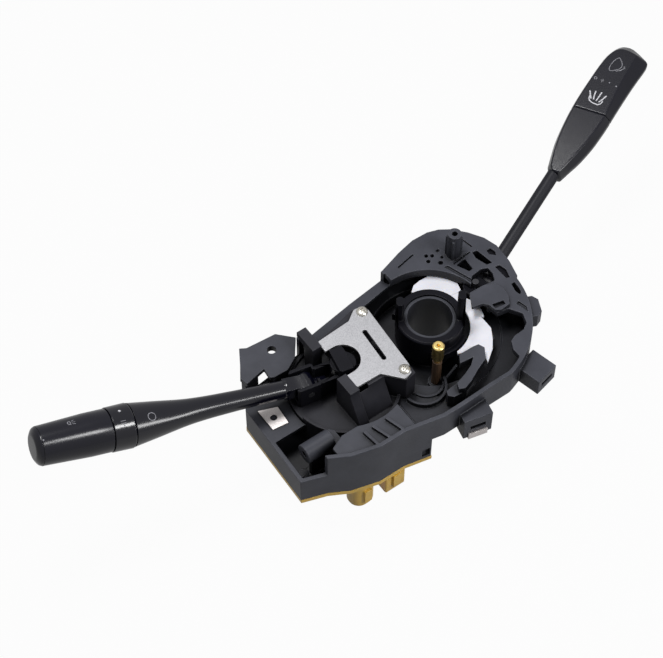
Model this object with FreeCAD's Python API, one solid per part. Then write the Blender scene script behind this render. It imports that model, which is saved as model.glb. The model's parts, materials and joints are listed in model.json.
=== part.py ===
import FreeCAD, Part
import math
import os

from FreeCAD import Placement, Rotation, Vector

# Combination stalk switch for a steering column, in millimetres.
# +Z runs up the steering column to the driver, +X points to the wiper lever,
# +Y to the top of the steering wheel. The origin is on the column axis, level
# with the underside of the deep housing box on the left.

# Clearances
RUNNING = 0.05
CLEAR = 0.3

# Housing
HOUSING_TOP = 38.0
HOUSING_WALL = 2.6
RIM_R = 60.0
RIM_TRIM = 1.7
RIM_FRONT_ANGLE = -76.0
RIGHT_FLOOR_BOTTOM = 18.0
BOX_RIGHT = -41.0
TRAY_LEFT = -119.0
TRAY_RIM = 20.0
TRAY_SPLIT = -104.0
TRAY_REAR_SPLIT = (-71.0, 8.0)
TRAY_SHELF_Y = -8.0
CUP_R = 35.0
CUP_BOTTOM = 8.0
STEP_R = 43.0
STEP_DEPTH = 0.9
BOX_OUTLINE = ((-46, -56.5), (-58, -54), (-75, -54), (-92, -49.5), (TRAY_SPLIT, -43), (TRAY_LEFT, -38),
               (-117, 20), (-110, 29), (-72, 34), (-28, 41), (-2, 44))
REAR_OUTLINE = ((14, 49), (26, 51.6), (37, 51.3), (44, 49), (50, 45), (57, 37), (62.5, 28), (65, 19), (64, 6),
                (60.8, -6))
SHOULDER_START = (-64.0, 25.5)
SHOULDER_ANGLE = 9.6
SHOULDER_LENGTH = 63.0
SHOULDER_DROP = 5.5
SHOULDER_SLOPE = 0.45
SHOULDER_REACH = 45.0

# Deck over the wiper side
DECK_INNER_R = 35.0
DECK_T = 4.2
DECK_LIP = (1.8, 2.0)
DECK_LEFT = -2.0
DECK_FRONT_ANGLE = -66.0
GROOVE_DEPTH = 1.4
DECK_WELL = ((12, -4), (24, -9.4), (30.8, -10.8), (33.4, -14.2), (34.2, -20.0), (41.4, -21.4), (46.1, -29),
             (43.8, -35.2), (39.4, -38), (32.4, -38.4), (28.6, -40), (25.6, -45.5), (25.6, -51.1), (22, -54.2),
             (2, -56), (0, -30))
DECK_OPENINGS = (
    ((36.2, 21.4), (41.4, 22.3), (43.2, 22.2), (42.5, 13.8), (39.7, 13.6)),
    ((49.8, 23.6), (52.9, 23), (54.7, 10.6), (51.2, 11.4), (49, 19.1)),
    ((57.6, 19.6), (60.4, 19.7), (61.2, 16), (60, 13.7), (57.4, 16.4)),
    ((54.1, 7.1), (57, 6.7), (58.2, 1.8), (56.4, -3.9), (54.4, -3)),
    ((54.2, -8.2), (56.4, -8.4), (55.6, -15.6), (53.6, -17.2), (52.8, -14.1)),
    ((34.4, 5), (38.9, 9.8), (46, 10.7), (50.1, 8.9), (49.9, 4.1), (47.7, -0.6), (39.7, 0.6), (35.2, 0.8)),
)
DECK_HOLES = ((25.8, 37.4, 1.2), (28.8, 35.4, 1.2), (24.4, 33.4, 1.3), (29.8, 28.4, 1.5), (33.0, 31.2, 1.0))
DECK_GROOVES = (
    ((29.6, 24.6), (31.8, 24.0), (37.0, 8.4), (36.6, 6.6), (35.4, 7.0)),
    ((32.7, 35.6), (32.7, 37.2), (34.9, 37.2), (34.9, 35.6)),
    ((50.2, 34.2), (51.3, 34.4), (52.6, 27), (51.5, 26.8)),
    ((35.6, 23.6), (48.5, 25.0), (48.6, 24.0), (35.6, 22.6)),
    ((7, 40.6), (20, 43.2), (20.2, 42.2), (7, 39.6)),
    ((47.4, -21.4), (49.6, -20.4), (51.4, -28.2), (49.4, -29.8)),
)

# Ledges, pocket walls and posts inside the housing
FRONT_LEDGE = ((-97, -60), (-97, -38), (-88, -34), (-50, -34), (-50, -60))
FRONT_LEDGE_Z = (33.4, 35.6)
LEDGE_RIBS = ((-77.0, -75.0), (-71.0, -66.0), (-61.5, -57.0))
LEDGE_RIB_Y = (-40.0, -56.0)
LEDGE_RIB_HALF = 0.8
LEDGE_GAP = 3.2
POCKET_WALL = 1.6
INNER_POCKET = (-21.5, -26.0, 10.0, 22.0)
OUTER_POCKET = (-25.0, -28.0, 13.0, 24.0)
POCKET_CUT_Y = (-28.6, -29.8)
POCKET_LEG_END = (0.0, -27.0)
POCKET_LEG_ANGLE = -30.0
NYLON_POSTS = ((36.4, -47), (37.0, 41.6))
NYLON_POST_R = 2.2
HARNESS_NOTCH = (-47.0, -42.0, 2.5, 9.5)

# Column collar and cancel cam
COLUMN_BORE_R = 13.3
COLLAR_WALL = 2.0
COLLAR_TOP = 39.0
COLLAR_BOTTOM = 0.0
CAM_R = 20.0
CAM_TOP = 40.0
CAM_BOTTOM = 20.0
CAM_CHAMFER = 0.9
CAM_LOBE_R = 23.0
CAM_LOBE_Z = (25.5, 31.5)
CAM_LOBE_STARTS = (55.0, 235.0)
CAM_LOBE_SPAN = 70.0
POST_R = 17.7
POST_ANGLE = -35.0
POST_SIZE = (4.4, 6.4)
POST_CHAMFER = 1.1
POST_DEPTH = 12.0
POST_TOPS = (61.0, 55.0)

# Turn signal case, carrier and left lever
CASE_CENTRE = (-62.0, -1.0)
CASE_R = 33.0
CASE_DECK = 22.0
CASE_WALL = 2.4
CASE_LIP = (1.8, 2.2)
RAIL_TOP = 41.0
TUNNEL_HALF = 12.2
TURN_PIVOT = (-60.0, 3.5)
TURN_YAW = 11.3
REAR_RAIL = ((-28, 28.5), (-36, 29.5), (-58, 24))
FRONT_RAIL = ((-41.5, 0.0), (-30.2, -7.6), (-31, -18.4), (-38, -19.4), (-47, -9.9), (-58, -9.9))
EAR_GAP = 11.6
EAR_CENTRE_SHIFT = 1.6
EAR_X = (-71.6, -65.3)
EAR_TOP = 45.0
EAR_LIP = 4.0
REAR_EAR_REACH = (33.0, 26.0, 25.0)
FRONT_EAR_REACH = (-20.0, -31.0)
SKIRT_RIGHT = -47.0
SKIRT_Y = (-18.5, -28.5)
BEARING_WALL = 2.6
BEARING_DEPTH = 5.0
PIVOT_PIN_R = 2.4
PIVOT_PIN_TOP = 35.5
HUB_R = 7.6
POST_HALF = 8.4
POST_U = (-3.2, 5.2)
POST_HEIGHT = 12.0
CHANNEL_HALF = 8.0
CHANNEL_WALL = 2.2
CHANNEL_FLOOR = 2.6
CHANNEL_SPAN = (16.2, 31.0)
CHANNEL_TOP = 38.5
CHEEK_V = 5.2
CHEEK_HALF = 1.2
TAIL_ROOM = (8.4, 3.4)
CARRIER_TAIL_T = 4.0
CARRIER_TAIL_HALF = 4.5
TONGUE_SPAN = (15.5, 18.0)
TONGUE_HALF = 1.8
TONGUE_DEPTH = 3.4
SLIDER_SPAN = (6.2, 24.0)
SLIDER_HALF = (7.0, 9.0)
SLIDER_T = 5.0
FINGERS = ((9.0, 4.0), (20.0, 5.5))
FINGER_HALF = 1.4
CONTACT_STRIP = (2.2, 4.5, 0.8)
DIMMER_U = 23.0
DIMMER_Z = 31.0
DIMMER_PIN_R = 2.0
DIMMER_EYE_R = 5.0
EYE_GAP = 0.4
LEFT_PITCH = 13.7
LEFT_LENGTH = 165.0
KNOB_LENGTH = 43.5
RING_LENGTH = 12.5
LEVER_TAIL = (12.6, 2.5, 1.6, 1.4)
LEVER_BAR = (15.0, 4.6, 4.2)
STALK_START = 13.0
STALK_STATIONS = (46.0, 72.0, 94.0)
ROOT_R = 5.2
SHANK_R = 5.9
NECK_R = 7.2
FLARE_R = 10.3
HEAD_R = 12.4
KNOB_R = 12.2
KNOB_END_R = 11.0
KNOB_SHOULDER = 12.0
CAP_LENGTH = 3.4
CAP_EDGE = 2.2
SPIGOT_R = 8.0
SPIGOT_REACH = 14.0
LEVER_BORE_R = 2.6
KNOB_GAP = 0.4
ROTOR_R = 6.0
ROTOR_T = 4.0
ROTOR_CONTACT = (4.2, 1.4, 0.7)
PLUNGER_U = 11.4
PLUNGER_R = 1.5
PLUNGER_HEAD = (0.6, 0.6)
PLUNGER_LENGTH = 3.4

# Cancel pawl
PAWL_DISTANCE = 15.0
PAWL_PIN_R = 1.6
PAWL_EYE_R = 4.2
PAWL_LENGTH = 20.0
PAWL_HALF = (3.0, 2.2)
PAWL_T = 4.6

# Aluminium plate and its screws
PLATE_T = 1.6
PLATE_CORNER_R = 1.4
PLATE_OUTLINE = ((-65, 21.8), (-65, -16.5), (-48.5, -16.8), (-39, -28), (-33.5, -26.5), (-31.2, -21),
                 (-27.6, 23), (-29.2, 27.2), (-34.5, 28.2), (-41.5, 23.3))
NOTCH_R = 10.2
PLATE_SLOT_AT = (-39.4, 1.2)
PLATE_SLOT = (1.4, 10.5, -5.0)
PLATE_SCREWS = ((-31.5, 24.0), (-35.5, -22.5))
PLATE_SCREW_LENGTH = 8.0
SCREW_HEAD_R = 3.4
SCREW_HEAD_H = 2.0
SCREW_CHAMFER = 0.7
SCREW_R = 1.9
SCREW_CROSS = (1.9, 0.45, 1.0)

# Horn contact
HORN_AT = (-14.0, -25.5)
HORN_SLEEVE_R = 2.8
HORN_SLEEVE_FLOOR = 1.2
HORN_SOCKET = (1.8, 5.0)
HORN_STEM_R = 1.7
HORN_STEM_BOTTOM = 27.0
HORN_HEAD_R = 3.5
HORN_TOP = 52.0
HORN_HEAD_H = 12.0
HORN_STROKE = 3.0
HORN_DIMPLE = (1.0, 3.0)
SPRING_R = 1.2
SPRING_WIRE = 0.35
SPRING_TURNS = 6

# Nylon plate and wire guide
NYLON_Z = 28.5
NYLON_T = 2.0
NYLON_INNER_R = 24.0
NYLON_OUTER_R = 33.0
NYLON_LINK = (-24.0, 34.0)
NYLON_REAR = ((22.2, 36.4), (25.4, 35.8), (28.5, 27.4), (32.6, 15.8), (30.8, 9.2), (24, 7), (14, 18), (6, 25.4),
              (10, 28.6), (15.3, 29.4), (20.2, 29), (22.6, 31.6))
NYLON_FRONT = ((25.3, -4.8), (28.6, -8.7), (28.4, -22.4), (24.2, -29.3), (19.9, -34.5), (11.6, -40.5),
               (12.8, -36.7), (16.2, -31.8), (14.1, -27.3), (4.7, -27.2), (1.2, -25.6), (4, -20), (18, -8))
GUIDE_T = 5.5
GUIDE_HEAD = ((-4.4, -34.3), (-0.9, -29.2), (9.3, -29.4), (12.6, -30), (14.1, -33.8), (9.7, -40.3),
              (1.5, -43.6), (-6.5, -47.7), (-12.3, -49.5), (-15.6, -48), (-14, -44), (-6.3, -41.6),
              (0, -39), (4.6, -35.3))
GUIDE_FOOT = ((-9.4, -41.6), (-8.2, -46.6), (-13.2, -49), (-19.2, -48.4), (-21.6, -45.6), (-20.2, -42.6))

# Wiper carrier and right lever
WIPER_PIVOT = (38.0, 5.3)
WIPER_YAW = 20.7
WIPER_SWING = 21.0
WIPER_HUB_R = 7.0
WIPER_PIN_R = 2.0
WIPER_CHEEK = (4.4, 6.2, 1.1, 30.5)
WIPER_ARM = (17.0, 4.0, 3.0, 4.5)
GATE_R = (17.0, 33.0)
GATE_MARGIN = 11.0
GATE_SILL = 1.4
GATE_RISE = 1.6
WASHER_U = 12.3
WASHER_Z = 24.9
WASHER_EYE_R = 3.9
WASHER_EYE_HALF = 4.7
WASHER_PIN_R = 1.6
RIGHT_PITCH = 14.5
ROD_R = 4.0
ROD_END = 80.0
ROD_SOCKET = 10.0
PADDLE_END = 180.0
PADDLE_SEAM = 127.0
PADDLE_T = 11.0
PADDLE_BEVEL_DROP = 3.2
PADDLE_UNDER = 1.6
PADDLE_RIM = ((0, -5.4), (17, -10.2), (34, -12.5), (87, -12.2), (95, -9.4), (99, -4), (100, 1), (97.5, 6.6),
              (92.5, 11), (70, 12), (32, 11.6), (12, 7.8), (0, 4.6))
PADDLE_FLAT = ((1.5, -3.4), (19, -4.9), (36, -6.3), (85, -6.5), (91, -5.2), (94.5, -2), (95.6, 1), (94, 4.6),
               (90, 8.8), (70, 10), (32, 9.8), (13, 6.2), (1.5, 3.0))

# Switch cover on the deck
COVER_T = 2.4
COVER_OUTLINE = ((28.9, -0.5), (38.5, -0.9), (45.4, -3.6), (47.2, -9.3), (46.2, -15.1), (43, -20.3),
                 (36.2, -20.8), (33.4, -18.7), (32.7, -14), (30.3, -11.2), (23.5, -9.6))
COVER_WINDOW = ((34.4, -14.6), (41.6, -16.2), (41, -18.9), (34.2, -18))

# Amber bases and connectors
BASE_T = 3.0
BASE_INSET = 0.9
CONNECTOR_WALL = 1.6
CONNECTOR_DEPTH = 26.0
SOCKET_DEPTH = 17.0
LATCH = (2.5, 1.6, 4.0, 16.0)
BLADE_T = 0.8
BLADE_W = 2.8
BLADE_CLEAR = 6.0
LIGHT_CONNECTOR_AT = (-79.5, -41.0)
LIGHT_CONNECTOR_SIZE = (15.6, 14.0)
LIGHT_CONNECTOR_R = 6.6
LIGHT_BLADES = ((-3.9, 0.0, 3.9), (-2.2, 2.2))
TURN_CONNECTOR_AT = (-59.5, -42.0)
TURN_CONNECTOR_SIZE = (14.2, 14.0)
TURN_CONNECTOR_R = 1.2
TURN_BLADES = ((-3.4, 3.4), (-2.6, 2.6))
TURN_SLOTS = (4.6, 1.1, 3.0, 12.0)
WIPER_CONNECTOR_AT = (47.0, -12.0)
WIPER_CONNECTOR_SIZE = (16.0, 20.0)
WIPER_CONNECTOR_R = 1.4
WIPER_BLADES = ((-3.6, 3.6), (-5.6, 0.0, 5.6))
WIPER_BASE = ((39, 12), (57, 9), (58.5, -8), (54, -22), (45, -30), (39.5, -20))
BASE_SCREWS = ((-110.0, -28.0), (-108.0, 18.0), (-46.5, 32.5), (-47.5, -51.0))
BASE_PILLAR_TOP = 8.0
BASE_PILLAR_WALL = 1.2
BASE_SCREW_LENGTH = 8.0
HOLE_CLEAR = 0.2

# Screw bosses for the column shrouds
REAR_BOSS_AT = (39.6, 29.0)
REAR_BOSS_R = 4.2
REAR_BOSS_TOP = 58.0
REAR_BOSS_HOLE_R = 1.7
REAR_BOSS_DEPTH = 14.0
REAR_BOSS_RIB = (0.9, 0.7, 3.0)
RIGHT_BOSS_AT = (31.5, -54.5)
RIGHT_BOSS_YAW = -77.0
RIGHT_BOSS_LENGTH = 13.0
RIGHT_BOSS_HALF = 8.0
RIGHT_BOSS_Z = (18.5, 31.0)
FRONT_BOSS_ANGLE = -103.0
FRONT_BOSS_REACH = 8.5
FRONT_BOSS_HALF = 9.0
FRONT_BOSS_Z = (12.0, 29.5)
BOSS_ROOT = 4.0
BOSS_SLOT = (9.4, 3.2)
BOSS_SLOT_DEPTH = 10.0
LUG_ANGLE = -25.0
LUG_REACH = 6.5
LUG_HALF = 7.4
LUG_Z = (23.0, 34.0)
LUG_CHAMFER = 3.0
SIDE_BOSS_ROOT = (-91.0, -27.5, 27.0)
SIDE_BOSS_TIP = (-109.2, -27.5, 27.0)
SIDE_BOSS_R = 5.9
SIDE_BOSS_HOLE_R = 2.0
SIDE_BOSS_DEPTH = 14.0
SIDE_BOSS_FOOT = (-95.0, -86.0, -33.0, -22.0)
SIDE_BOSS_WEB = (-105.0, -92.0, -29.0, -26.0)

# Sheet nuts and the bracket at the left
NUT_T = 0.9
LEFT_NUT = ((-112, -0.6), (-102, -1.8), (-101, 10.6), (-112, 14.9))
LEFT_NUT_HOLE = (-107.0, 6.0, 2.1)
FRONT_NUT_HALF = 6.0
FRONT_NUT_LIP = 4.2
BRACKET_Z = 28.0
BRACKET_T = 3.0
BRACKET_OUTLINE = ((-99.8, 51.2), (-96.1, 49), (-77.1, 47.5), (-68.6, 38.4), (-77.3, 27), (-85.3, 22.6),
                   (-94.2, 22.8), (-96.9, 24), (-96.2, 30.9), (-104.1, 29.3), (-110, 28), (-110.8, 33.1))
BRACKET_HOLE_AT = (-85.0, 39.4)
BRACKET_HOLE_R = 2.6
BRACKET_COLLAR = (4.4, 2.0)
BRACKET_FOOT = ((-94, 24), (-83, 24.6), (-83, 30.4), (-94, 29.4))
BRACKET_EAR = ((-110.6, 33.2), (-109.9, 29.8), (-100.6, 30.6), (-100.6, 33.4))
BRACKET_EAR_DROP = 12.0

Z = Vector(0, 0, 1)
Y = Vector(0, 1, 0)
X = Vector(1, 0, 0)
ORIGIN = Vector(0, 0, 0)
FAR = 90.0


def box(x0, x1, y0, y1, z0, z1):
    return Part.makeBox(x1 - x0, y1 - y0, z1 - z0, Vector(x0, y0, z0))


def post(x, y, z0, z1, r):
    return Part.makeCylinder(r, z1 - z0, Vector(x, y, z0), Z)


def tube(x, y, z0, z1, r_in, r_out):
    return post(x, y, z0, z1, r_out).cut(post(x, y, z0 - 1, z1 + 1, r_in))


def face_of(points, z=0.0):
    corners = [Vector(x, y, z) for x, y in points]
    return Part.Face(Part.makePolygon(corners + corners[:1]))


def prism(points, z0, z1):
    return face_of(points, z0).extrude(Vector(0, 0, z1 - z0))


def upright_edges(solid):
    return [e for e in solid.Edges if abs(e.tangentAt(e.FirstParameter).z) > 0.99]


def rounded(points, radius, z0, z1):
    """Prism over an outline whose corners are rounded to one radius."""
    solid = prism(points, z0, z1)
    return solid.makeFillet(radius, upright_edges(solid))


def octagon(x, y, r):
    """Eight corners of a small round hole."""
    corners = [(k + 0.5) * math.pi / 4 for k in range(8)]
    return [(x + r * math.cos(a), y + r * math.sin(a)) for a in corners]


def join(*shapes):
    solid = shapes[0].fuse(list(shapes[1:])) if len(shapes) > 1 else shapes[0]
    return solid.removeSplitter()


def polar(r, degrees):
    angle = math.radians(degrees)
    return r * math.cos(angle), r * math.sin(angle)


def sector(r, start, end, z0, z1):
    """Wedge of a disc about the column axis, between two angles."""
    solid = Part.makeCylinder(r, z1 - z0, Vector(0, 0, z0), Z, end - start)
    solid.rotate(ORIGIN, Z, start)
    return solid


def cross_pin(u, z, half, r):
    """Pin across a lever frame, as long on either side of it."""
    return Part.makeCylinder(r, 2 * half, Vector(u, -half, z), Y)


def rod(x, length, r):
    return Part.makeCylinder(r, length, Vector(x, 0, 0), X)


def turned(profile):
    """Solid of revolution about the local X axis, from (x, r) points."""
    corners = [Vector(x, r, 0) for x, r in profile]
    closed = [Vector(profile[0][0], 0, 0)] + corners + [Vector(profile[-1][0], 0, 0)]
    face = Part.Face(Part.makePolygon(closed + closed[:1]))
    return face.revolve(ORIGIN, X, 360)


def local_frame(at, z, yaw, pitch=0.0):
    """Frame whose X runs out along a lever and whose Z leans back with it."""
    turn = Rotation(Z, yaw).multiply(Rotation(Y, -pitch))
    return Placement(Vector(at[0], at[1], z), turn)


def moved(shape, frame):
    placed = shape.copy()
    placed.Placement = frame.multiply(placed.Placement)
    return placed


TURN_FRAME = local_frame(TURN_PIVOT, 0.0, 180.0 - TURN_YAW)
DIMMER_POINT = TURN_FRAME.multVec(Vector(DIMMER_U, 0, DIMMER_Z))
LEFT_FRAME = local_frame((DIMMER_POINT.x, DIMMER_POINT.y), DIMMER_Z, 180.0 - TURN_YAW, LEFT_PITCH)
WIPER_FRAME = local_frame(WIPER_PIVOT, 0.0, WIPER_YAW)
WASHER_POINT = WIPER_FRAME.multVec(Vector(WASHER_U, 0, WASHER_Z))
RIGHT_FRAME = local_frame((WASHER_POINT.x, WASHER_POINT.y), WASHER_Z, WIPER_YAW, RIGHT_PITCH)
PAWL_POINT = TURN_FRAME.multVec(Vector(-PAWL_DISTANCE, 0, 0))
RIGHT_BOSS_FRAME = local_frame(RIGHT_BOSS_AT, 0.0, RIGHT_BOSS_YAW)
RIGHT_FLOOR_TOP = RIGHT_FLOOR_BOTTOM + HOUSING_WALL
CUP_FLOOR_TOP = CUP_BOTTOM + HOUSING_WALL
DECK_BOTTOM = HOUSING_TOP - DECK_T
COLLAR_R = COLUMN_BORE_R + COLLAR_WALL
CARRIER_BOTTOM = CASE_DECK + CLEAR
CASE_CEILING = CASE_DECK - CASE_WALL
PLATE_TOP = RAIL_TOP + PLATE_T
NYLON_TOP = NYLON_Z + NYLON_T
TAIL_END = PAWL_DISTANCE + CARRIER_TAIL_HALF
KNOB_START = LEFT_LENGTH - KNOB_LENGTH
RING_START = KNOB_START - RING_LENGTH
CAP_START = LEFT_LENGTH - CAP_LENGTH


def plan_face():
    """Outline of the whole housing seen from the driver."""
    front = [(0, -RIM_R + RIM_TRIM), (-20, -RIM_R + 1), (-34, -RIM_R + 1)]
    outline = [(0, 0), polar(RIM_R, RIM_FRONT_ANGLE)] + front + list(BOX_OUTLINE) + list(REAR_OUTLINE)
    whole = join(sector(RIM_R, RIM_FRONT_ANGLE, 0, 0, 1), prism(outline, 0, 1))
    floor = [f for f in whole.Faces if abs(f.CenterOfMass.z) < 0.001]
    return Part.Face(floor[0].OuterWire)


PLAN = plan_face()


def plan_block(inset, z0, z1):
    face = PLAN if inset == 0 else PLAN.makeOffset2D(-inset)
    solid = face.extrude(Vector(0, 0, z1 - z0))
    solid.translate(Vector(0, 0, z0))
    return solid


def case_room(gap, z0, z1):
    """Round space that the turn signal case takes up, with a gap round it."""
    return post(CASE_CENTRE[0], CASE_CENTRE[1], z0, z1, CASE_R + gap)


def shoulder_wedge(drop, extra):
    """Space above the sloping rear shoulder, lowered by drop."""
    start = HOUSING_TOP - SHOULDER_DROP - drop
    low = start - SHOULDER_SLOPE * SHOULDER_REACH
    side = [Vector(0, y, z) for y, z in ((0, start), (SHOULDER_REACH, low), (SHOULDER_REACH, FAR), (0, FAR))]
    wedge = Part.Face(Part.makePolygon(side + side[:1])).extrude(Vector(SHOULDER_LENGTH + extra, 0, 0))
    return moved(wedge, local_frame(SHOULDER_START, 0, SHOULDER_ANGLE))


def housing_shell():
    """Deep box on the left, shallow round body on the right and the cup below it."""
    deep = plan_block(0, 0, HOUSING_TOP).cut(box(BOX_RIGHT, FAR, -FAR, FAR, -5, RIGHT_FLOOR_BOTTOM))
    cup = post(0, 0, CUP_BOTTOM, RIGHT_FLOOR_TOP, CUP_R + HOUSING_WALL)
    room = plan_block(HOUSING_WALL, HOUSING_WALL, HOUSING_TOP + 20)
    room = room.cut(box(BOX_RIGHT - HOUSING_WALL, FAR, -FAR, FAR, 0, RIGHT_FLOOR_TOP))
    room = room.cut(shoulder_wedge(HOUSING_WALL, 0))
    outer = join(deep, cup).cut(shoulder_wedge(0, 0)).cut(room)
    outer = outer.cut(post(0, 0, CUP_FLOOR_TOP, HOUSING_TOP, CUP_R))
    rear_x, rear_y = TRAY_REAR_SPLIT
    outer = outer.cut(box(TRAY_LEFT - 5, TRAY_SPLIT, -FAR, FAR, TRAY_RIM, FAR))
    outer = outer.cut(box(TRAY_LEFT - 5, rear_x, rear_y, FAR, TRAY_RIM, FAR))
    return outer.cut(tube(0, 0, RIGHT_FLOOR_TOP - STEP_DEPTH, RIGHT_FLOOR_TOP + 1, CUP_R - 1, STEP_R))


def housing_deck():
    """Ring deck over the wiper side, with its well, lip, openings and grooves."""
    corner = polar(2 * FAR, DECK_FRONT_ANGLE)
    reach = 2 * FAR
    wedge = prism([(DECK_LEFT, 0), (0, 0), corner, (reach, -FAR), (reach, reach), (DECK_LEFT, reach)], 0, FAR)
    deck = plan_block(0.5, DECK_BOTTOM, HOUSING_TOP).cut(post(0, 0, 0, FAR, DECK_INNER_R))
    lip_w, lip_h = DECK_LIP
    lip = tube(0, 0, DECK_BOTTOM - lip_h, HOUSING_TOP, DECK_INNER_R, DECK_INNER_R + lip_w)
    deck = deck.fuse(lip).common(wedge)
    low = DECK_BOTTOM - lip_h - 1
    high = HOUSING_TOP + 1
    cuts = [prism(DECK_WELL, low, high), post(*WIPER_PIVOT, 0, DECK_BOTTOM, WIPER_HUB_R + 1.2)]
    cuts += [prism(points, low, high) for points in DECK_OPENINGS]
    cuts += [prism(octagon(x, y, r), low, high) for x, y, r in DECK_HOLES]
    cuts += [prism(points, HOUSING_TOP - GROOVE_DEPTH, high) for points in DECK_GROOVES]
    return deck.cut(cuts)


def front_ledge():
    """Ribbed ledge between the front wall and the turn signal case."""
    low, high = FRONT_LEDGE_Z
    ledge = plan_block(0.5, low, high).common(prism(FRONT_LEDGE, 0, FAR))
    y0, y1 = LEDGE_RIB_Y
    half = LEDGE_RIB_HALF
    ribs = [prism([(a - half, y0), (a + half, y0), (b + half, y1), (b - half, y1)], low, HOUSING_TOP)
            for a, b in LEDGE_RIBS]
    ribs = ribs[0].fuse(ribs[1:]).common(plan_block(0.5, 0, FAR))
    return ledge.fuse(ribs).cut(case_room(LEDGE_GAP, 0, FAR))


def wiper_lever_gate():
    """Slot in the outer wall through which the wiper lever swings."""
    inner, outer = GATE_R
    low = RIGHT_FLOOR_TOP + GATE_SILL
    gate = Part.makeCylinder(outer, DECK_BOTTOM + GATE_RISE - low, ORIGIN, Z, WIPER_SWING + 2 * GATE_MARGIN)
    gate.rotate(ORIGIN, Z, WIPER_YAW - WIPER_SWING - GATE_MARGIN)
    gate = gate.cut(post(0, 0, -1, FAR, inner))
    gate.translate(Vector(WIPER_PIVOT[0], WIPER_PIVOT[1], low))
    return gate


def pocket_walls():
    """Two U-shaped walls in front of the ring, round the horn contact."""
    ix, iy, inner_r, inner_top = INNER_POCKET
    ox, oy, outer_r, outer_top = OUTER_POCKET
    half = POCKET_WALL / 2
    inner = tube(ix, iy, CUP_FLOOR_TOP - 1, inner_top, inner_r - half, inner_r + half)
    inner = inner.common(box(-FAR, FAR, -FAR, POCKET_CUT_Y[0], 0, FAR))
    dx, dy = polar(inner_r, POCKET_LEG_ANGLE)
    start = Vector(ix + dx, iy + dy, 0)
    end = Vector(POCKET_LEG_END[0], POCKET_LEG_END[1], 0)
    run = end - start
    leg = box(0, run.Length, -half, half, CUP_FLOOR_TOP - 1, inner_top)
    leg = moved(leg, local_frame((start.x, start.y), 0, math.degrees(math.atan2(run.y, run.x))))
    outer = tube(ox, oy, CUP_FLOOR_TOP - 1, outer_top, outer_r - half, outer_r + half)
    outer = outer.common(box(-FAR, FAR, -FAR, POCKET_CUT_Y[1], 0, FAR))
    walls = inner.fuse([leg, outer])
    outside = tube(0, 0, 0, RIGHT_FLOOR_TOP - STEP_DEPTH - 0.5, CUP_R + 1, 2 * FAR)
    return walls.cut(outside)


def side_boss_parts():
    """Barrel, foot and web of the boss on the left that points sideways, and its hole."""
    root = Vector(*SIDE_BOSS_ROOT)
    tip = Vector(*SIDE_BOSS_TIP)
    run = tip - root
    out = Vector(run).normalize()
    barrel = Part.makeCylinder(SIDE_BOSS_R, run.Length, root, out)
    foot = box(*SIDE_BOSS_FOOT, HOUSING_WALL, SIDE_BOSS_ROOT[2])
    web = box(*SIDE_BOSS_WEB, HOUSING_WALL, SIDE_BOSS_ROOT[2])
    hole = Part.makeCylinder(SIDE_BOSS_HOLE_R, SIDE_BOSS_DEPTH + 1, tip - out * SIDE_BOSS_DEPTH, out)
    return barrel.fuse([foot, web]).cut(case_room(CLEAR, 0, FAR)), hole


def radial_block(angle, r0, r1, half, z0, z1):
    block = box(r0, r1, -half, half, z0, z1)
    block.rotate(ORIGIN, Z, angle)
    return block


def outer_bosses():
    """Screw bosses and the lug on the outer wall, before their holes."""
    rear = post(*REAR_BOSS_AT, DECK_BOTTOM, REAR_BOSS_TOP, REAR_BOSS_R)
    rib_out, rib_half, rib_drop = REAR_BOSS_RIB
    for k in range(4):
        rib = box(REAR_BOSS_R - 0.5, REAR_BOSS_R + rib_out, -rib_half, rib_half, DECK_BOTTOM,
                  REAR_BOSS_TOP - rib_drop)
        rib.rotate(ORIGIN, Z, 45 + 90 * k)
        rib.translate(Vector(REAR_BOSS_AT[0], REAR_BOSS_AT[1], 0))
        rear = rear.fuse(rib)
    right = moved(box(-BOSS_ROOT, RIGHT_BOSS_LENGTH, -RIGHT_BOSS_HALF, RIGHT_BOSS_HALF, *RIGHT_BOSS_Z),
                  RIGHT_BOSS_FRAME)
    front = radial_block(FRONT_BOSS_ANGLE, RIM_R - BOSS_ROOT, RIM_R + FRONT_BOSS_REACH, FRONT_BOSS_HALF,
                         *FRONT_BOSS_Z)
    lug = box(RIM_R - BOSS_ROOT, RIM_R + LUG_REACH, -LUG_HALF, LUG_HALF, *LUG_Z)
    lug = lug.makeChamfer(LUG_CHAMFER, [e for e in upright_edges(lug) if e.CenterOfMass.x > RIM_R])
    lug.rotate(ORIGIN, Z, LUG_ANGLE)
    return [rear, right, front, lug]


def outer_boss_holes():
    rear = post(*REAR_BOSS_AT, REAR_BOSS_TOP - REAR_BOSS_DEPTH, REAR_BOSS_TOP + 1, REAR_BOSS_HOLE_R)
    half = BOSS_SLOT[0] / 2
    slot_half = BOSS_SLOT[1] / 2
    right_z = sum(RIGHT_BOSS_Z) / 2
    front_z = sum(FRONT_BOSS_Z) / 2
    right = box(RIGHT_BOSS_LENGTH - BOSS_SLOT_DEPTH, RIGHT_BOSS_LENGTH + 1, -half, half, right_z - slot_half,
                right_z + slot_half)
    reach = RIM_R + FRONT_BOSS_REACH
    front = radial_block(FRONT_BOSS_ANGLE, reach - BOSS_SLOT_DEPTH, reach + 1, half, front_z - slot_half,
                         front_z + slot_half)
    return [rear, moved(right, RIGHT_BOSS_FRAME), front]


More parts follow.
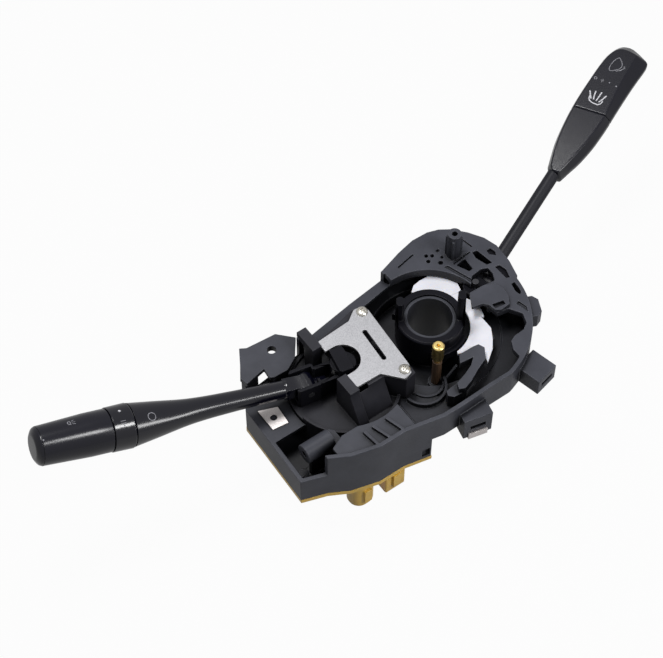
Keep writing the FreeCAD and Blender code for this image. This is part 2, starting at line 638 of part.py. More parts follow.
def inner_posts():
    """Posts under the nylon plate, screw pillars and the socket of the horn contact."""
    posts = [post(*polar(r, a), RIGHT_FLOOR_TOP - 1, NYLON_Z, NYLON_POST_R) for r, a in NYLON_POSTS]
    for x, y in BASE_SCREWS:
        posts.append(post(x, y, HOUSING_WALL - 1, BASE_PILLAR_TOP, SCREW_R + BASE_PILLAR_WALL))
    wall, height = HORN_SOCKET
    posts.append(post(*HORN_AT, CUP_FLOOR_TOP - 1, CUP_FLOOR_TOP + height, HORN_SLEEVE_R + wall))
    return posts


def tray_shelf():
    """Flat shelf at the left rim, behind the side boss."""
    shelf = plan_block(1.0, TRAY_RIM - HOUSING_WALL, TRAY_RIM)
    return shelf.common(box(TRAY_LEFT, TRAY_REAR_SPLIT[0], TRAY_SHELF_Y, FAR, 0, FAR))


def main_housing():
    barrel, barrel_hole = side_boss_parts()
    collar = post(0, 0, COLLAR_BOTTOM, COLLAR_TOP, COLLAR_R)
    parts = [housing_deck(), front_ledge(), barrel, collar, pocket_walls(), tray_shelf()]
    body = housing_shell().fuse(parts + outer_bosses() + inner_posts())
    drum = case_room(CLEAR, HOUSING_WALL, CASE_DECK + CASE_LIP[1] + CLEAR)
    drum = drum.cut(post(0, 0, 0, FAR, CUP_R + HOUSING_WALL))
    drum = drum.cut(box(BOX_RIGHT - HOUSING_WALL, FAR, -FAR, FAR, 0, FAR))
    cuts = outer_boss_holes() + [barrel_hole, wiper_lever_gate(), drum]
    cuts.append(post(0, 0, COLLAR_BOTTOM - 1, COLLAR_TOP + 1, COLUMN_BORE_R))
    cuts.append(post(*HORN_AT, CUP_FLOOR_TOP, FAR, HORN_SLEEVE_R))
    cuts.append(post(*WIPER_PIVOT, RIGHT_FLOOR_BOTTOM - 1, HOUSING_TOP + 1, WIPER_PIN_R))
    x0, x1, z0, z1 = HARNESS_NOTCH
    cuts.append(box(x0, x1, -FAR, -RIM_R + 5, z0, z1))
    for x, y in BASE_SCREWS:
        cuts.append(post(x, y, -1, BASE_PILLAR_TOP - BASE_PILLAR_WALL, SCREW_R))
    return body.cut(cuts).removeSplitter()


def case_ear(inner, outline):
    """Upright ear beside the carrier, from (y, z) points."""
    corners = [Vector(EAR_X[0], y, z) for y, z in outline]
    return Part.Face(Part.makePolygon(corners + corners[:1])).extrude(Vector(EAR_X[1] - EAR_X[0], 0, 0))


def case_ears():
    low = CASE_DECK - 1
    centre = TURN_PIVOT[1] + EAR_CENTRE_SHIFT
    rear_in = centre + EAR_GAP
    front_in = centre - EAR_GAP
    reach, waist, foot = REAR_EAR_REACH
    rear = [(rear_in, low), (rear_in, EAR_TOP), (reach, EAR_TOP), (reach, EAR_TOP - EAR_LIP),
            (waist, EAR_TOP - 1.5 * EAR_LIP), (foot, low)]
    reach, foot = FRONT_EAR_REACH
    front = [(front_in, low), (front_in, EAR_TOP), (reach, EAR_TOP), (reach, EAR_TOP - EAR_LIP), (foot, low)]
    y0, y1 = SKIRT_Y
    side = [Vector(EAR_X[1] - 1, y, z) for y, z in ((y0, RAIL_TOP - 2), (y0, low), (y1, low))]
    skirt = Part.Face(Part.makePolygon(side + side[:1])).extrude(Vector(SKIRT_RIGHT - EAR_X[1] + 1, 0, 0))
    return [case_ear(rear_in, rear), case_ear(front_in, front), skirt]


def turn_signal_case():
    """Round case with two rails under the plate and an ear each side of the carrier."""
    drum = case_room(0, HOUSING_WALL, CASE_DECK)
    lip_w, lip_h = CASE_LIP
    lip = case_room(0, CASE_DECK, CASE_DECK + lip_h).cut(case_room(-lip_w, 0, FAR))
    lip = lip.cut(moved(box(18, 45, -15.5, 15.5, CASE_DECK - 1, FAR), TURN_FRAME))
    ty = TURN_PIVOT[1]
    low = CASE_DECK - 1
    left = REAR_RAIL[-1][0]
    rear_side = ty + TUNNEL_HALF
    front_side = ty - TUNNEL_HALF
    rear_rail = prism([(left, rear_side), (-27.2, rear_side)] + list(REAR_RAIL), low, RAIL_TOP)
    front_rail = prism([(left, front_side)] + [(x, front_side + y) for x, y in FRONT_RAIL], low, RAIL_TOP)
    case = drum.fuse([lip, rear_rail, front_rail] + case_ears())
    hollow = case_room(-CASE_WALL, 0, CASE_CEILING)
    bearing = post(*TURN_PIVOT, CASE_CEILING - BEARING_DEPTH, low, PIVOT_PIN_R + BEARING_WALL)
    case = case.cut(hollow).fuse(bearing)
    top = RIGHT_FLOOR_TOP + CLEAR
    cuts = [post(0, 0, 0, top, CUP_R + HOUSING_WALL + CLEAR),
            box(BOX_RIGHT - HOUSING_WALL - CLEAR, 0, -FAR, FAR, 0, top),
            post(*TURN_PIVOT, 0, PIVOT_PIN_TOP, PIVOT_PIN_R)]
    for x, y in PLATE_SCREWS:
        cuts.append(post(x, y, RAIL_TOP - PLATE_SCREW_LENGTH - 1, RAIL_TOP + 1, SCREW_R))
    slots = [box(TONGUE_SPAN[0] - 0.6, TONGUE_SPAN[1] + 0.6, -5.6, 5.6, CASE_DECK - 4, CASE_DECK + 1),
             box(PLUNGER_U - 2.2, PLUNGER_U + 2.2, -4.4, 4.4, CASE_DECK - 4, CASE_DECK + 1)]
    return case.cut(cuts + [moved(slot, TURN_FRAME) for slot in slots]).removeSplitter()


def retaining_plate():
    tx, ty = TURN_PIVOT
    low = RAIL_TOP - 1
    high = PLATE_TOP + 1
    plate = rounded(PLATE_OUTLINE, PLATE_CORNER_R, RAIL_TOP, PLATE_TOP)
    notch = post(tx, ty, low, high, NOTCH_R)
    mouth = box(tx - 2 * NOTCH_R, tx, ty - NOTCH_R, ty + NOTCH_R, low, high)
    half, reach, lean = PLATE_SLOT
    slot = box(-half, half, -reach, reach, low, high)
    slot = slot.fuse([post(0, y, low, high, half) for y in (-reach, reach)])
    slot = moved(slot, local_frame(PLATE_SLOT_AT, 0, lean))
    holes = [post(x, y, low, high, SCREW_R + HOLE_CLEAR) for x, y in PLATE_SCREWS]
    return plate.cut([notch, mouth, slot] + holes)


def cross_screw(x, y, seat, length, direction=1):
    """Pan head screw with a cross recess, its head above the seat."""
    head = post(x, y, 0, SCREW_HEAD_H, SCREW_HEAD_R)
    rim = [e for e in head.Edges if abs(e.CenterOfMass.z - SCREW_HEAD_H) < 0.01 and e.Length > 10]
    head = head.makeChamfer(SCREW_CHAMFER, rim)
    shank = post(x, y, -length, 0.1, SCREW_R - RUNNING)
    arm, half, depth = SCREW_CROSS
    low = SCREW_HEAD_H - depth
    cross = box(x - arm, x + arm, y - half, y + half, low, SCREW_HEAD_H + 1)
    cross = cross.fuse(box(x - half, x + half, y - arm, y + arm, low, SCREW_HEAD_H + 1))
    screw = head.fuse(shank).cut(cross)
    if direction < 0:
        screw.rotate(Vector(x, y, 0), X, 180)
    screw.translate(Vector(0, 0, seat))
    return screw


def plate_screws():
    return Part.makeCompound([cross_screw(x, y, PLATE_TOP, PLATE_SCREW_LENGTH) for x, y in PLATE_SCREWS])


def base_screws():
    """Plain screws from below, which hold the contact base."""
    screws = []
    for x, y in BASE_SCREWS:
        head = prism(octagon(x, y, SCREW_HEAD_R), -BASE_T - SCREW_HEAD_H, -BASE_T)
        shank = prism(octagon(x, y, SCREW_R - RUNNING), -BASE_T - 0.1, BASE_SCREW_LENGTH - BASE_T)
        screws.append(head.fuse(shank))
    return Part.makeCompound(screws)


def cancel_cam():
    """Ring that turns on the collar, with two cancel lobes and two tall driving posts."""
    ring = post(0, 0, CAM_BOTTOM, CAM_TOP, CAM_R)
    top = [e for e in ring.Edges if abs(e.CenterOfMass.z - CAM_TOP) < 0.01 and e.Length > 20]
    ring = ring.makeChamfer(CAM_CHAMFER, top)
    parts = [sector(CAM_LOBE_R, start, start + CAM_LOBE_SPAN, *CAM_LOBE_Z) for start in CAM_LOBE_STARTS]
    half_x = POST_SIZE[0] / 2
    half_y = POST_SIZE[1] / 2
    for k, top_z in enumerate(POST_TOPS):
        lug = box(-half_x, half_x, -half_y, half_y, CAM_TOP - POST_DEPTH, top_z)
        lug = lug.makeChamfer(POST_CHAMFER, upright_edges(lug))
        lug.translate(Vector(POST_R, 0, 0))
        lug.rotate(ORIGIN, Z, POST_ANGLE + 180 * k)
        parts.append(lug)
    cam = ring.fuse(parts)
    return cam.cut(post(0, 0, 0, FAR, COLLAR_R + RUNNING)).removeSplitter()


def turn_pivot_pin():
    return post(*TURN_PIVOT, CASE_CEILING - BEARING_DEPTH, PIVOT_PIN_TOP, PIVOT_PIN_R)


def turn_carrier():
    """Lever carrier: hub and post on the pivot, channel outwards, tail inwards."""
    z0 = CARRIER_BOTTOM
    start, end = CHANNEL_SPAN
    hub = post(0, 0, z0, RAIL_TOP - 1, HUB_R)
    top = box(POST_U[0], POST_U[1], -POST_HALF, POST_HALF, RAIL_TOP + 3 - POST_HEIGHT, RAIL_TOP + 3)
    top = top.makeFillet(0.8, upright_edges(top))
    neck = box(4, start + 1, -CHEEK_V - CHEEK_HALF, CHEEK_V + CHEEK_HALF, z0, z0 + 3)
    cheeks = [box(4, start + 1, s * CHEEK_V - CHEEK_HALF, s * CHEEK_V + CHEEK_HALF, z0, CHANNEL_TOP - 2)
              for s in (-1, 1)]
    tray = box(start, end, -CHANNEL_HALF, CHANNEL_HALF, z0, CHANNEL_TOP)
    tray = tray.makeChamfer(1.2, upright_edges(tray))
    inner = CHANNEL_HALF - CHANNEL_WALL
    room = box(start + 1.5, end + 5, -inner, inner, z0 + CHANNEL_FLOOR, FAR)
    tail = box(-TAIL_END, 0, -CARRIER_TAIL_HALF, CARRIER_TAIL_HALF, z0, z0 + CARRIER_TAIL_T)
    pawl_pin = post(-PAWL_DISTANCE, 0, z0 + 1, z0 + CARRIER_TAIL_T + PAWL_T + 1.2, PAWL_PIN_R)
    carrier = hub.fuse([top, neck, tray, tail, pawl_pin] + cheeks).cut(room)
    pin_hole = cross_pin(DIMMER_U, DIMMER_Z, 2 * CHANNEL_HALF, DIMMER_PIN_R)
    tail_u, tail_half = TAIL_ROOM
    tail_room = box(tail_u, start + 3, -tail_half, tail_half, z0 + CHANNEL_FLOOR - 0.2, FAR)
    plunger_hole = post(PLUNGER_U, 0, z0 - 1, z0 + 5, PLUNGER_R + RUNNING)
    plunger_hole = plunger_hole.fuse(post(PLUNGER_U, 0, z0 + 1.7, z0 + 5, PLUNGER_R + PLUNGER_HEAD[0] + CLEAR))
    carrier = carrier.cut([post(0, 0, 0, PIVOT_PIN_TOP + 0.5, PIVOT_PIN_R + RUNNING), pin_hole, tail_room,
                           plunger_hole])
    tongue = box(*TONGUE_SPAN, -TONGUE_HALF, TONGUE_HALF, CASE_DECK - TONGUE_DEPTH, z0 + 1)
    return moved(carrier.fuse(tongue).removeSplitter(), TURN_FRAME)


def turn_contact_slider():
    """Contact block under the case deck, driven by a tongue of the carrier."""
    top = CASE_DECK - TONGUE_DEPTH
    start, end = SLIDER_SPAN
    narrow, wide = SLIDER_HALF
    block = prism([(start, -narrow), (end, -wide), (end, wide), (start, narrow)], top - SLIDER_T, top)
    low = HOUSING_WALL + CONTACT_STRIP[2] + CLEAR
    fingers = [box(u - FINGER_HALF, u + FINGER_HALF, s * v - FINGER_HALF, s * v + FINGER_HALF, low, top - 4)
               for u, v in FINGERS for s in (-1, 1)]
    return moved(block.fuse(fingers), TURN_FRAME)


def turn_fixed_contacts():
    """Brass contact strips on the housing floor below the slider."""
    half_u, half_v, thick = CONTACT_STRIP
    middle = half_v + 0.25
    top = HOUSING_WALL + thick
    strips = [box(u - half_u, u + half_u, s * middle - half_v, s * middle + half_v, HOUSING_WALL, top)
              for u, v in FINGERS for s in (-1, 1)]
    return moved(Part.makeCompound(strips), TURN_FRAME)


def cancel_pawl():
    z0 = CARRIER_BOTTOM + CARRIER_TAIL_T + CLEAR
    wide, narrow = PAWL_HALF
    eye = post(0, 0, z0, z0 + PAWL_T, PAWL_EYE_R)
    neck = -PAWL_LENGTH + wide
    arm = prism([(0, -wide), (0, wide), (neck, narrow), (-PAWL_LENGTH, 0), (neck, -narrow)], z0, z0 + PAWL_T)
    pawl = eye.fuse(arm).cut(post(0, 0, 0, FAR, PAWL_PIN_R + RUNNING))
    return moved(pawl, local_frame((PAWL_POINT.x, PAWL_POINT.y), 0.0, 180.0))


def dimmer_pivot_pin():
    return moved(cross_pin(DIMMER_U, DIMMER_Z, CHANNEL_HALF, DIMMER_PIN_R), TURN_FRAME)


def left_stalk():
    """Tapered lever of the lights, with a flat eye on the dimmer pin."""
    eye_half = CHANNEL_HALF - CHANNEL_WALL - EYE_GAP
    eye = cross_pin(0, 0, eye_half, DIMMER_EYE_R)
    bar_x, bar_y, bar_z = LEVER_BAR
    bar = box(0, bar_x, -bar_y, bar_y, -bar_z, bar_z)
    radii = (SHANK_R, NECK_R, FLARE_R)
    skin = turned([(STALK_START, ROOT_R)] + list(zip(STALK_STATIONS, radii)) + [(RING_START - CLEAR, HEAD_R)])
    spigot = rod(RING_START - 1, RING_LENGTH + SPIGOT_REACH, SPIGOT_R)
    reach, half, under, over = LEVER_TAIL
    tail = box(-reach, 0, -half, half, -under, over)
    stalk = eye.fuse([bar, skin, spigot, tail])
    bore = rod(STALK_START - 1, LEFT_LENGTH, LEVER_BORE_R)
    pin = cross_pin(0, 0, 2 * CHANNEL_HALF, DIMMER_PIN_R + RUNNING)
    return moved(stalk.cut([bore, pin]), LEFT_FRAME)


def index_ring():
    """Fixed ring between stalk and knob, with the raised index."""
    end = RING_START + RING_LENGTH
    ring = turned([(RING_START, HEAD_R - 0.2), (RING_START + 0.8, HEAD_R + 0.4), (end, HEAD_R + 0.2)])
    return moved(ring.cut(rod(RING_START - 5, RING_LENGTH + 10, SPIGOT_R)), LEFT_FRAME)


def light_knob():
    start = KNOB_START + KNOB_GAP
    knob = turned([(start, KNOB_R), (start + KNOB_SHOULDER, KNOB_R), (CAP_START, KNOB_END_R)])
    bore = rod(start - 1, SPIGOT_REACH + 0.5, SPIGOT_R + RUNNING)
    room = rod(start + KNOB_SHOULDER, SPIGOT_REACH + ROTOR_T + 1.5 - KNOB_SHOULDER - KNOB_GAP, ROTOR_R)
    return moved(knob.cut([bore, room]), LEFT_FRAME)


def knob_end_cap():
    edge = KNOB_END_R - 0.5
    cap = turned([(CAP_START, KNOB_END_R), (LEFT_LENGTH - 1.2, edge), (LEFT_LENGTH, KNOB_END_R - CAP_EDGE)])
    return moved(cap, LEFT_FRAME)


def light_rotor():
    """Contact rotor in the knob, facing the end of the stalk."""
    start = KNOB_START + KNOB_GAP + SPIGOT_REACH + 0.5
    reach, size, gap = ROTOR_CONTACT
    lug = box(start - gap, start + 0.5, reach - size / 2, reach + size / 2, -size / 2, size / 2)
    lugs = []
    for angle in (0, 120, 240):
        turned_lug = lug.copy()
        turned_lug.rotate(ORIGIN, X, angle)
        lugs.append(turned_lug)
    return moved(rod(start, ROTOR_T, ROTOR_R).fuse(lugs), LEFT_FRAME)


def dimmer_plunger():
    """Short pin under the tail of the left lever, in the neck of the carrier."""
    z0 = CARRIER_BOTTOM
    wider, height = PLUNGER_HEAD
    pin = post(PLUNGER_U, 0, z0 - 0.1, z0 + PLUNGER_LENGTH, PLUNGER_R)
    head = post(PLUNGER_U, 0, z0 + PLUNGER_LENGTH - 0.2, z0 + PLUNGER_LENGTH - 0.2 + height, PLUNGER_R + wider)
    return moved(pin.fuse(head), TURN_FRAME)


def horn_contact_sleeve():
    top = HORN_TOP - HORN_HEAD_H - HORN_STROKE - 0.5
    sleeve = post(*HORN_AT, CUP_FLOOR_TOP, top, HORN_SLEEVE_R)
    return sleeve.cut(post(*HORN_AT, CUP_FLOOR_TOP + HORN_SLEEVE_FLOOR, top + 1, HORN_STEM_R + RUNNING))


def horn_contact_pin():
    head = post(*HORN_AT, HORN_TOP - HORN_HEAD_H, HORN_TOP, HORN_HEAD_R)
    top = [e for e in head.Edges if abs(e.CenterOfMass.z - HORN_TOP) < 0.01 and e.Length > 10]
    head = head.makeChamfer(0.7, top)
    stem = post(*HORN_AT, HORN_STEM_BOTTOM, HORN_TOP - 2, HORN_STEM_R)
    dimple_r, dimple_h = HORN_DIMPLE
    return head.fuse(stem).cut(post(*HORN_AT, HORN_TOP - dimple_h, HORN_TOP + 1, dimple_r))


def horn_contact_spring():
    """Coil spring under the horn pin, a hexagonal wire in straight steps."""
    low = CUP_FLOOR_TOP + HORN_SLEEVE_FLOOR + 0.1
    rise = HORN_STEM_BOTTOM - 0.1 - low - 2 * SPRING_WIRE
    steps = 8
    rings = []
    for k in range(SPRING_TURNS * steps + 1):
        angle = 2 * math.pi * k / steps
        out = Vector(math.cos(angle), math.sin(angle), 0)
        height = low + SPRING_WIRE + rise * k / (SPRING_TURNS * steps)
        middle = out * SPRING_R + Vector(HORN_AT[0], HORN_AT[1], height)
        corners = []
        for j in range(6):
            turn = math.pi * j / 3
            corners.append(middle + out * (SPRING_WIRE * math.cos(turn)) + Z * (SPRING_WIRE * math.sin(turn)))
        rings.append(Part.makePolygon(corners + corners[:1]))
    return Part.makeLoft(rings, True, True)


def nylon_guide_plate():
    """White plate half round the ring, with a rear lobe, a hook notch and a front lobe."""
    link = tube(0, 0, NYLON_Z, NYLON_TOP, NYLON_INNER_R, NYLON_OUTER_R)
    link = link.common(sector(FAR, *NYLON_LINK, NYLON_Z - 1, NYLON_TOP + 1))
    plate = link.fuse([prism(NYLON_REAR, NYLON_Z, NYLON_TOP), prism(NYLON_FRONT, NYLON_Z, NYLON_TOP)])
    ring_room = post(0, 0, NYLON_Z - 1, NYLON_TOP + 1, NYLON_INNER_R)
    hub_room = post(*WIPER_PIVOT, NYLON_Z - 1, NYLON_TOP + 1, WIPER_HUB_R + 1.4)
    return plate.cut([ring_room, hub_room]).removeSplitter()


def wire_guide():
    """Curved black guide beside the nylon plate, on a foot on the housing floor."""
    rail = prism(GUIDE_HEAD, NYLON_TOP, NYLON_TOP + GUIDE_T)
    foot = prism(GUIDE_FOOT, RIGHT_FLOOR_TOP, NYLON_TOP + 1)
    inside = plan_block(HOUSING_WALL + CLEAR, 0, FAR)
    return rail.fuse(foot).common(inside).removeSplitter()


def wiper_pivot_pin():
    return post(*WIPER_PIVOT, RIGHT_FLOOR_BOTTOM, HOUSING_TOP, WIPER_PIN_R)


def wiper_carrier():
    """Hub of the wiper lever, with two cheeks for the washer pin and a contact arm."""
    z0 = RIGHT_FLOOR_TOP + CLEAR
    hub = post(0, 0, z0, DECK_BOTTOM - CLEAR, WIPER_HUB_R)
    reach, across, half, top = WIPER_CHEEK
    cheeks = [box(3, WASHER_U + reach, s * across - half, s * across + half, z0, top) for s in (-1, 1)]
    length, wide, narrow, thick = WIPER_ARM
    arm = prism([(-wide, 0), (wide, 0), (narrow, -length), (-narrow, -length)], z0, z0 + thick)
    room = cross_pin(WASHER_U, WASHER_Z, across - half, WASHER_EYE_R + 0.5)
    pin_hole = cross_pin(WASHER_U, WASHER_Z, 2 * across, WASHER_PIN_R)
    carrier = hub.fuse(cheeks + [arm]).cut([post(0, 0, 0, FAR, WIPER_PIN_R + RUNNING), pin_hole, room])
    return moved(carrier.removeSplitter(), WIPER_FRAME)


def washer_pivot_pin():
    return moved(cross_pin(WASHER_U, WASHER_Z, WIPER_CHEEK[1] + WIPER_CHEEK[2], WASHER_PIN_R), WIPER_FRAME)


def right_rod():
    """Round rod of the wiper lever, with its eye on the washer pin."""
    eye = cross_pin(0, 0, WASHER_EYE_HALF, WASHER_EYE_R)
    shaft = rod(2, ROD_END + ROD_SOCKET - 2, ROD_R)
    hole = cross_pin(0, 0, 2 * WASHER_EYE_HALF, WASHER_PIN_R + RUNNING)
    return moved(eye.fuse(shaft).cut(hole), RIGHT_FRAME)


def paddle_blank():
    """Flat handle of the wiper lever, its top bevelled widest along the front side."""
    half = PADDLE_T / 2
    stretch = (PADDLE_END - ROD_END) / PADDLE_RIM[6][0]

    def ring(points, z):
        corners = [Vector(ROD_END + x * stretch, y, z) for x, y in points]
        return Part.makePolygon(corners + corners[:1])

    inset = [(x, y * 0.86) for x, y in PADDLE_RIM]
    levels = [ring(inset, -half), ring(PADDLE_RIM, -half + PADDLE_UNDER),
              ring(PADDLE_RIM, half - PADDLE_BEVEL_DROP), ring(PADDLE_FLAT, half)]
    return Part.makeLoft(levels, True, True)


def seam_side():
    """Space beyond the slanting seam between the two halves of the handle."""
    near = PADDLE_SEAM - 1
    return prism([(near, FAR), (near + 1.8, -6.4), (near + 6.4, -FAR / 5), (PADDLE_END + FAR, -FAR / 5),
                  (PADDLE_END + FAR, FAR)], -FAR, FAR)


def paddle_body():
    return moved(paddle_blank().cut([seam_side(), rod(ROD_END - 1, ROD_SOCKET + 1, ROD_R)]), RIGHT_FRAME)


def paddle_cap():
    return moved(paddle_blank().common(seam_side()), RIGHT_FRAME)


def wiper_switch_cover():
    cover = prism(COVER_OUTLINE, HOUSING_TOP, HOUSING_TOP + COVER_T)
    return cover.cut(prism(COVER_WINDOW, HOUSING_TOP - 1, HOUSING_TOP + COVER_T + 1))


def contact_base_plate():
    """Amber contact base under the deep box, seen as a thin line from the side."""
    edge = plan_block(BASE_INSET, -BASE_T, 0)
    holes = [post(x, y, -BASE_T - 1, 1, SCREW_R + HOLE_CLEAR) for x, y in BASE_SCREWS]
    return edge.cut([box(BOX_RIGHT - 0.5, FAR, -FAR, FAR, -9, 9)] + holes).removeSplitter()


def rounded_block(at, size, z0, z1, radius):
    half_x = size[0] / 2
    half_y = size[1] / 2
    block = box(at[0] - half_x, at[0] + half_x, at[1] - half_y, at[1] + half_y, z0, z1)
    return block.makeFillet(radius, upright_edges(block))


def connector(at, size, top, radius):
    """Open socket shell hanging below a contact base, with its latch at the front."""
    low = top - CONNECTOR_DEPTH
    shell = rounded_block(at, size, low, top, radius)
    inner = (size[0] - 2 * CONNECTOR_WALL, size[1] - 2 * CONNECTOR_WALL)
    room = rounded_block(at, inner, low - 1, low + SOCKET_DEPTH, max(radius - CONNECTOR_WALL, 0.6))
    half, out, start, end = LATCH
    front = at[1] - size[1] / 2
    latch = box(at[0] - half, at[0] + half, front - out, front + 0.5, low + start, low + end)
    return shell.fuse(latch).cut(room)


def blades(at, top, places):
    """Brass blades of a connector, short of the socket's mouth."""
    low = top - CONNECTOR_DEPTH
    columns, rows = places
    found = []
    for x in columns:
        for y in rows:
            found.append(box(at[0] + x - BLADE_W / 2, at[0] + x + BLADE_W / 2, at[1] + y - BLADE_T / 2,
                             at[1] + y + BLADE_T / 2, low + BLADE_CLEAR, low + SOCKET_DEPTH))
    return Part.makeCompound(found)


def lighting_connector():
    return connector(LIGHT_CONNECTOR_AT, LIGHT_CONNECTOR_SIZE, -BASE_T, LIGHT_CONNECTOR_R)


def turn_connector():
    body = connector(TURN_CONNECTOR_AT, TURN_CONNECTOR_SIZE, -BASE_T, TURN_CONNECTOR_R)
    x, y = TURN_CONNECTOR_AT
    front = y - TURN_CONNECTOR_SIZE[1] / 2
    across, half, start, end = TURN_SLOTS
    slots = [box(x + dx - half, x + dx + half, front - 2.5, front + 0.9, -BASE_T - end, -BASE_T - start)
             for dx in (-across, across)]
    return body.cut(slots)


def wiper_connector():
    return connector(WIPER_CONNECTOR_AT, WIPER_CONNECTOR_SIZE, RIGHT_FLOOR_BOTTOM - BASE_T, WIPER_CONNECTOR_R)


def lighting_terminals():
    return blades(LIGHT_CONNECTOR_AT, -BASE_T, LIGHT_BLADES)


def turn_terminals():
    return blades(TURN_CONNECTOR_AT, -BASE_T, TURN_BLADES)


def wiper_terminals():
    return blades(WIPER_CONNECTOR_AT, RIGHT_FLOOR_BOTTOM - BASE_T, WIPER_BLADES)


def wiper_base_plate():
    plate = prism(WIPER_BASE, RIGHT_FLOOR_BOTTOM - BASE_T, RIGHT_FLOOR_BOTTOM)
    return plate.cut(post(*WIPER_PIVOT, 0, FAR, WIPER_PIN_R + 2))


def left_spring_nut():
    """Folded sheet nut on the shelf at the left rim."""
    x, y, r = LEFT_NUT_HOLE
    leaf = prism(LEFT_NUT, TRAY_RIM, TRAY_RIM + NUT_T)
    return leaf.cut(post(x, y, 0, FAR, r))


def front_spring_nut():
    """L-shaped sheet nut under the front boss."""
    z0 = FRONT_BOSS_Z[0]
    reach = RIM_R + FRONT_BOSS_REACH
    plate = radial_block(FRONT_BOSS_ANGLE, RIM_R + 1, reach + NUT_T, FRONT_NUT_HALF, z0 - NUT_T, z0)
    lip = radial_block(FRONT_BOSS_ANGLE, reach, reach + NUT_T, FRONT_NUT_HALF, z0 - NUT_T, z0 + FRONT_NUT_LIP)
    return plate.fuse(lip).removeSplitter()


def left_bracket():
    """Flat bracket behind the lever, with a drilled collar, a foot and an ear."""
    high = BRACKET_Z + BRACKET_T
    plate = prism(BRACKET_OUTLINE, BRACKET_Z, high)
    foot = prism(BRACKET_FOOT, TRAY_RIM, BRACKET_Z + 1).cut(case_room(CLEAR, 0, FAR))
    ear = prism(BRACKET_EAR, BRACKET_Z - BRACKET_EAR_DROP, BRACKET_Z + 1)
    collar_r, collar_h = BRACKET_COLLAR
    collar = post(*BRACKET_HOLE_AT, BRACKET_Z - collar_h, high, collar_r)
    hole = post(*BRACKET_HOLE_AT, 0, FAR, BRACKET_HOLE_R)
    return plate.fuse([foot, ear, collar]).cut(hole).removeSplitter()


NODES = {
    "main_housing": main_housing,
    "turn_signal_case": turn_signal_case,
    "retaining_plate": retaining_plate,
    "plate_screws": plate_screws,
    "cancel_cam": cancel_cam,
    "turn_pivot_pin": turn_pivot_pin,
    "turn_carrier": turn_carrier,
    "turn_contact_slider": turn_contact_slider,
    "turn_fixed_contacts": turn_fixed_contacts,
    "cancel_pawl": cancel_pawl,
    "dimmer_pivot_pin": dimmer_pivot_pin,
    "dimmer_plunger": dimmer_plunger,
    "left_stalk": left_stalk,
    "index_ring": index_ring,
    "light_knob": light_knob,
    "knob_end_cap": knob_end_cap,
    "light_rotor": light_rotor,
    "horn_contact_sleeve": horn_contact_sleeve,
    "horn_contact_pin": horn_contact_pin,
    "horn_contact_spring": horn_contact_spring,
    "nylon_guide_plate": nylon_guide_plate,
    "wire_guide": wire_guide,
    "wiper_pivot_pin": wiper_pivot_pin,
    "wiper_carrier": wiper_carrier,
    "washer_pivot_pin": washer_pivot_pin,
    "right_rod": right_rod,
    "paddle_body": paddle_body,
    "paddle_cap": paddle_cap,
    "wiper_switch_cover": wiper_switch_cover,
    "contact_base_plate": contact_base_plate,
    "lighting_connector": lighting_connector,
    "lighting_terminals": lighting_terminals,
    "turn_connector": turn_connector,
    "turn_terminals": turn_terminals,
    "wiper_base_plate": wiper_base_plate,
    "wiper_connector": wiper_connector,
    "wiper_terminals": wiper_terminals,
    "base_screws": base_screws,
    "left_spring_nut": left_spring_nut,
    "front_spring_nut": front_spring_nut,
    "left_bracket": left_bracket,
}


os.makedirs("parts", exist_ok=True)
for name, make in NODES.items():
    shape = make()
    shape.exportStep("parts/" + name + ".step")
    print(name, len(shape.Solids), round(shape.Volume, 1), shape.isValid())
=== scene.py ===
"""Dresses a combination stalk switch for its picture: finishes, fine detail, studio and camera."""
import json
import logging
import math
from dataclasses import dataclass, field
from enum import Enum
from functools import cache
from typing import Callable, Sequence

import bmesh
import bpy
from bmesh.types import BMesh, BMVert
from bpy.types import Material, Node, NodeSocket, NodeTree, Object
from mathutils import Matrix, Vector

